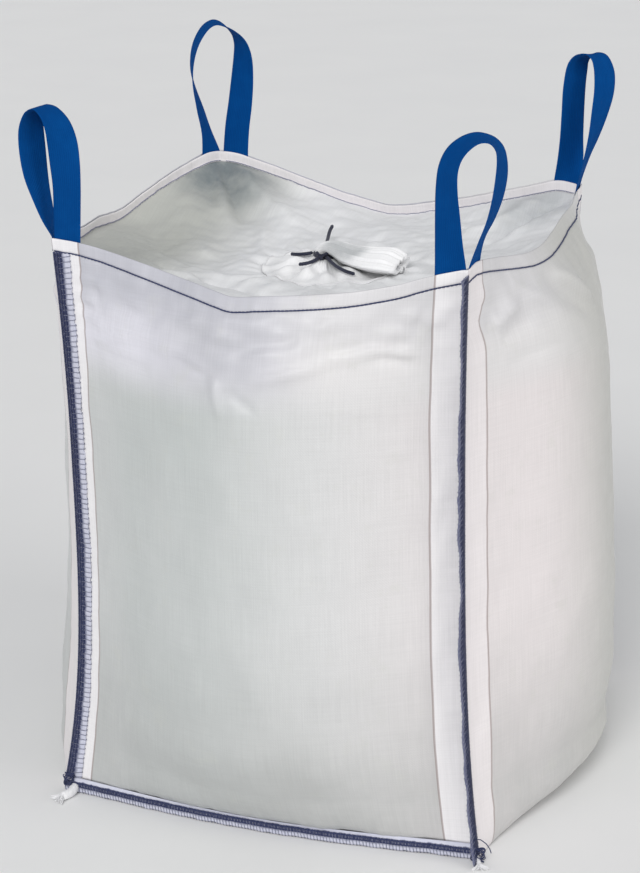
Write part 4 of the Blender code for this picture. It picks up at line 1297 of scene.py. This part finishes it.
# Folds of the top panel: start, middle, end in plan, height and width
topFolds = (
    ((-0.430, 0.415), (-0.399, 0.366), (-0.290, 0.225), -0.026, 0.022),
    ((-0.430, 0.370), (-0.420, 0.320), (-0.370, 0.240), -0.014, 0.016),
    ((-0.425, 0.395), (-0.390, 0.320), (-0.310, 0.180), 0.012, 0.018),
    ((-0.385, 0.420), (-0.300, 0.350), (-0.200, 0.270), 0.014, 0.024),
    ((0.390, 0.430), (0.340, 0.365), (0.290, 0.240), -0.020, 0.018),
    ((0.410, 0.380), (0.360, 0.290), (0.290, 0.180), 0.009, 0.018),
    ((0.350, 0.410), (0.280, 0.340), (0.200, 0.290), 0.010, 0.018),
    ((-0.400, -0.400), (-0.320, -0.320), (-0.220, -0.250), -0.012, 0.018),
    ((-0.400, -0.340), (-0.300, -0.260), (-0.200, -0.180), 0.009, 0.018),
    ((0.400, -0.400), (0.320, -0.320), (0.230, -0.240), -0.012, 0.018),
    ((0.400, -0.340), (0.310, -0.250), (0.210, -0.180), 0.008, 0.018),
    ((-0.470, -0.080), (-0.250, -0.210), (0.060, -0.270), -0.010, 0.016),
    ((-0.480, -0.030), (-0.270, -0.120), (-0.080, -0.190), 0.007, 0.018),
    ((-0.240, 0.228), (-0.215, 0.112), (-0.168, 0.034), 0.012, 0.018),
    ((-0.180, 0.000), (-0.140, -0.100), (-0.040, -0.158), 0.009, 0.014),
    ((-0.300, 0.120), (-0.260, 0.020), (-0.230, -0.100), -0.008, 0.018),
    ((0.160, -0.070), (0.200, 0.060), (0.160, 0.200), 0.008, 0.020),
    ((0.100, 0.200), (-0.020, 0.240), (-0.140, 0.200), 0.006, 0.020),
)


def seamRipples(angle):
    # Height of the wavy seam between the top panel and the spout
    slow = 0.0030 * np.sin(9 * angle + 1.8 * np.sin(2 * angle))
    return slow + 0.0022 * np.sin(17 * angle + np.sin(3 * angle))


def dishHeight(edgeHeight, share):
    return topForm["dishCentre"] + (edgeHeight - topForm["dishCentre"]) * share ** topForm["dishPower"]


def skirtDepth(s):
    # How far the top panel's skirt is inside the walls' outer face: more behind the webbing
    fromCorner = np.minimum(s, 1 - s) * 2 * bagForm["topHalf"]
    behind = bagForm["cloth"] + bagForm["webThick"] + 2 * bagForm["gap"]
    beside = bagForm["cloth"] + 2.5 * bagForm["gap"]
    reach = ease((fromCorner - topForm["skirtFrom"]) / (topForm["skirtTo"] - topForm["skirtFrom"]))
    return behind + (beside - behind) * reach


def rimRing(drop, inset):
    # A ring of points once round inside the rim, anticlockwise seen from above
    s = 0.010 + 0.980 * (np.arange(topBuild["perSide"]) + 0.5) / topBuild["perSide"]
    return np.concatenate([
        clothPoint(side, s, rimHeight(side, s) - drop, -skirtDepth(s) - inset) for side in sideWays
    ])


def topRelief(x, y, share):
    broad = topBuild["broad"] * ripples(x, y, topBuild["broadSize"], 211)
    fine = topBuild["fine"] * ripples(x, y, topBuild["fineSize"], 223)
    quiet = ease(share / 0.12) * ease((1 - share) / 0.10)
    angle = np.arctan2(y, x)
    radial = 0.0
    for height, number, sway, swayNumber, phase, reach in topBuild["pleats"]:
        swaying = number * angle + sway * np.sin(swayNumber * angle) + phase
        radial = radial + height * np.sin(swaying) * np.exp(-share / reach)
    folds = (broad + fine + foldRelief(x, y, topFolds)) * quiet
    return folds + radial * ease(share / 0.02) + seamRipples(angle) * np.exp(-((share / 0.10) ** 2))


def makeTopPanel():
    rows = [rimRing(drop, inset) for drop, inset in topBuild["rimRows"]]
    edge = rows[-1]
    flat = edge * (1, 1, 0)
    hole = unit(flat) * (topForm["spoutRadius"] + topBuild["holeGap"])
    shares = np.linspace(0.945, 0.10, topBuild["dishRows"])
    shares = np.r_[0.992, 0.980, 0.965, shares, 0.075, 0.05, 0.03, 0.015, 0.0]
    for share in shares:
        ring = hole + (flat - hole) * share
        height = dishHeight(edge[:, 2], share) + topRelief(ring[:, 0], ring[:, 1], share)
        rows.append(ring + height[:, None] * up)
    under = topForm["spoutRadius"] - topBuild["underLap"]
    lip = topForm["dishCentre"] - topBuild["holeLip"] + seamRipples(np.arctan2(flat[:, 1], flat[:, 0]))
    rows.append(unit(flat) * under + lip[:, None] * up)
    points = np.stack(rows)
    plan = np.concatenate([points, points[:, :1]], 1)
    uv = plan[..., :2] + 0.5
    panel = sheetMesh("top_panel_cloth", points, uv, topCloth, topBuild["thickness"], closed=True, flip=True)
    panel.data.materials.append(hemCloth)
    inBand = np.arange(len(panel.data.polygons)) < topBuild["bandRows"] * points.shape[1]
    panel.data.polygons.foreach_set("material_index", inBand.astype(np.int32))
    finishPiece(panel, "woven_cloth", "top_panel")
    runs = []
    radius = hemStitches["innerRadius"]
    for side in sideWays:
        def place(share, lift):
            height = rimHeight(side, share) - topBuild["stitchDrop"]
            return clothPoint(side, share, height, -skirtDepth(share) - hemStitches["innerLift"] - lift)

        runs.append(stitchRun(
            place, *hemStitches["innerSpan"], hemStitches["length"], radius, hemStitches["innerRowLength"],
        ))
    sewThread("hem_stitches_inside", runs, radius, greyThread, 1)
    print("top panel made:", len(panel.data.polygons), "faces")


makeTopPanel()


# Filling spout: gathered from its seam circle up to the neck, its free end laid to the right
spoutBuild = {
    "thickness": 0.0005, "around": 256, "gatherRows": 34, "freeRows": 62,
    "lowest": -0.010, "underTails": 0.0052, "besideTails": 0.0172,
    "gather": 0.0062, "tightGather": 0.0030, "lump": 0.0070, "lumpSize": 0.060,
    "foldShare": 0.24, "fineFoldShare": 0.10, "acrossShare": 0.03, "sideways": -0.012,
    "tucks": 36, "tuckShare": 1.55,   # hidden under the free end: how many, and how deep
    "endRows": ((0.0035, 0.94), (0.0055, 0.84), (0.0045, 0.70), (-0.002, 0.56), (-0.012, 0.46)),
    "stitchRadius": 0.0008, "stitchCircle": 0.1485,
    "flopped": (            # along the free end: x, z, half width, half thickness, tilt
        (-0.000, -0.006, 0.0195, 0.0195, 0), (0.000, 0.005, 0.0195, 0.0195, 0),
        (0.006, 0.010, 0.022, 0.018, 30), (0.024, 0.010, 0.031, 0.016, 70),
        (0.056, 0.002, 0.047, 0.015, 100), (0.100, -0.002, 0.060, 0.016, 99),
        (0.146, -0.004, 0.064, 0.018, 93), (0.172, -0.008, 0.057, 0.013, 88),
    ),
}


def gathers(angle, seed, fewest, most, count=7):
    # Uneven pleats round the neck
    dice = np.random.default_rng(seed)
    total = 0.0
    for _ in range(count):
        number, phase = dice.integers(fewest, most), dice.uniform(0, 2 * np.pi)
        total = total + np.sin(number * angle + phase + 0.8 * np.sin(2 * angle + phase))
    return total / math.sqrt(count)


def tailDistance(x, y):
    # How far a place in plan is from the nearest of the tie's free ends
    nearest = np.full(np.shape(x), 1.0)
    for places in tieTails["routes"].values():
        for a, b in zip(places, places[1:]):
            a, b = np.array(a), np.array(b)
            run = b - a
            t = np.clip(((x - a[0]) * run[0] + (y - a[1]) * run[1]) / (run @ run), 0, 1)
            nearest = np.minimum(nearest, np.hypot(x - a[0] - t * run[0], y - a[1] - t * run[1]))
    return nearest


def makeSpout():
    neck = np.array(topForm["neck"])
    angle = np.linspace(0, 2 * np.pi, spoutBuild["around"], endpoint=False)
    coarse = gathers(angle, 307, 7, 15)
    tight = gathers(angle, 311, 17, 34)
    rows = []
    for share in np.r_[1.0, 0.985, 0.965, np.linspace(0.94, 0.22, spoutBuild["gatherRows"])]:
        reach = topForm["spoutRadius"] * share
        x = reach * np.cos(angle) + neck[0] * (1 - share)
        y = reach * np.sin(angle)
        deep = math.sin(math.pi * share) ** 0.8
        near = math.exp(-((share - 0.24) / 0.20) ** 2)
        fold = spoutBuild["gather"] * coarse * deep + spoutBuild["tightGather"] * tight * near
        lumps = spoutBuild["lump"] * ripples(x, y, spoutBuild["lumpSize"], 313) * deep
        clear = ease((tailDistance(x, y) - 0.008) / 0.016)
        highest = spoutBuild["underTails"] * (1 - clear) + spoutBuild["besideTails"] * clear
        atSeam = seamRipples(angle) * math.exp(-((1 - share) / 0.10) ** 2)
        height = rosetteHeight(x, y) + np.clip(fold + lumps, spoutBuild["lowest"], highest)
        rows.append(together(x, y, height + atSeam + 0.0006))
    acrossFold = 1 + spoutBuild["acrossShare"] * gathers(angle, 331, 5, 12)
    lower = np.cos(angle).clip(0, 1)
    tuck = 0.5 - 0.5 * np.cos(spoutBuild["tucks"] * angle)
    tuck = spoutBuild["tuckShare"] * lower * tuck * ease((lower - 0.10) / 0.25)
    stations = spoutBuild["flopped"]
    at = np.linspace(0, len(stations) - 1, spoutBuild["freeRows"])
    for x, z, wide, thick, tilt in throughRows(stations, at):
        turn = math.radians(tilt)
        face = np.array((math.cos(turn), 0, -math.sin(turn)))
        grown = 0.4 + 0.6 * ease(x / 0.05)
        folds = 1 + spoutBuild["foldShare"] * coarse * grown + spoutBuild["fineFoldShare"] * tight
        tucked = tuck * ease((x - 0.012) / 0.022) * ease((0.170 - x) / 0.012)
        section = np.array((0, 1.0, 0)) * (np.sin(angle) * wide * acrossFold)[:, None]
        section = section + face * ((np.cos(angle) * folds - tucked) * thick)[:, None]
        rows.append(neck + (x, spoutBuild["sideways"] * ease(x / 0.12), z) + section)
    last = rows[-1]
    middle = last.mean(0)
    for depth, size in spoutBuild["endRows"]:
        rows.append(middle + (last - middle) * size + (depth, 0, 0))
    points = np.stack(rows)
    run = np.linspace(0, 0.42, len(points))
    uv = together(np.linspace(0, 0.95, len(angle) + 1), run[:, None])
    spout = sheetMesh("filling_spout_cloth", points, uv, spoutCloth, spoutBuild["thickness"], closed=True)
    finishPiece(spout, "spout_cloth", "fill_spout")
    circle = np.linspace(0, 2 * np.pi, 400)
    lift = 0.0008 + 0.0006 * np.abs(np.sin(100 * circle)) + seamRipples(circle)
    reach = spoutBuild["stitchCircle"]
    ring = together(
        reach * np.cos(circle), reach * np.sin(circle), topForm["dishCentre"] + 0.0012 + lift,
    )
    sewThread("spout_seam_stitches", [ring], spoutBuild["stitchRadius"], whiteThread)
    print("spout made:", len(spout.data.polygons), "faces")


makeSpout()


# Tie round the neck: its turns, and a knot at the front
tieBuild = {
    "turns": 2.6, "rise": 0.0095, "radius": 0.0030, "gap": 0.0005, "wobble": 0.02,
    "knotRadius": 0.0032, "lay": (3, 0.016, 0.0006, 2, 15),   # strands, twist, groove, steps, sides
}


def makeTie():
    neck = np.array(topForm["neck"])
    reach = topForm["neckRadius"] + tieBuild["radius"] + tieBuild["gap"]
    t = np.linspace(0, 1, 120)
    angle = -0.5 * math.pi + 2 * math.pi * tieBuild["turns"] * t
    wobble = 1 + tieBuild["wobble"] * np.sin(3 * angle)
    route = together(
        neck[0] + reach * wobble * np.cos(angle), neck[1] + reach * wobble * np.sin(angle),
        neck[2] - 0.5 * tieBuild["rise"] + tieBuild["rise"] * t,
    )
    coil, _ = ropeMesh("spout_tie_cord", route, tieBuild["radius"], tieMaterial, *tieBuild["lay"])
    finishPiece(coil, "tie_cord", "spout_tie")
    front = neck + np.array((0.003, -reach - 0.003, 0.003))
    u = np.linspace(0, 2 * np.pi, 60)
    route = front + together(
        0.0075 * np.sin(u) + 0.006 * np.sin(2 * u), -0.0045 * np.cos(3 * u) - 0.004,
        0.0065 * np.cos(u) - 0.004 * np.cos(2 * u),
    )
    knot, _ = ropeMesh("tie_knot_cord", route, tieBuild["knotRadius"], tieMaterial, *tieBuild["lay"])
    finishPiece(knot, "tie_cord")


makeTie()
print("tie made")


# Grit, hidden inside
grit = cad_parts["grit_fill"]
grit.data.materials.clear()
grit.data.materials.append(gritMaterial())


# Floor and light
studio = {
    "floorSize": 60.0, "floor": (0.88, 0.88, 0.875, 1), "floorAlso": (0.86, 0.86, 0.858, 1),
    "sky": (0.95, 0.97, 1.0, 1), "skyStrength": 0.43,
    "lamps": (              # name, direction it comes from, strength, angle across in degrees, colour
        ("frontLamp", (0.05, -0.76, 0.65), 1.35, 28.0, (1.0, 0.99, 0.98)),
        ("rightLamp", (0.95, -0.15, 0.30), 0.86, 35.0, (1.0, 0.98, 0.96)),
        ("leftLamp", (-0.45, -0.85, 0.22), 0.28, 40.0, (0.99, 0.99, 1.0)),
    ),
}


def makeStudio():
    size = studio["floorSize"]
    uv = size * np.array([[(0.0, 0.0), (1.0, 0.0)], [(0.0, 1.0), (1.0, 1.0)]])
    points = np.concatenate([uv - 0.5 * size, 0 * uv[..., :1]], -1)
    floor = sheetMesh("floor", points, uv, floorMaterial())
    floor.location.z = -0.0005
    world = bpy.data.worlds.new("studio")
    world.use_nodes = True
    background = world.node_tree.nodes["Background"]
    background.inputs["Color"].default_value = studio["sky"]
    background.inputs["Strength"].default_value = studio["skyStrength"]
    bpy.context.scene.world = world
    for name, direction, strength, angle, colour in studio["lamps"]:
        lamp = addObject(name, bpy.data.lights.new(name, "SUN"))
        lamp.data.angle = math.radians(angle)
        lamp.data.energy = strength
        lamp.data.color = colour
        lamp.rotation_euler = Vector(direction).to_track_quat("Z", "Y").to_euler()


def floorMaterial():
    material, tree, shader = newMaterial("paleFloor", 0.75)
    place = addNode(tree, "ShaderNodeTexCoord").outputs["Object"]
    patches = remap(tree, noiseAt(tree, place, 1.5, 4.0), 0.3, 0.7, 0.0, 1.0)
    colour = mixColours(tree, patches, studio["floor"], studio["floorAlso"])
    tree.links.new(colour, shader.inputs["Base Color"])
    return material


makeStudio()
bpy.context.scene.view_settings.view_transform = "Standard"
print("studio made")
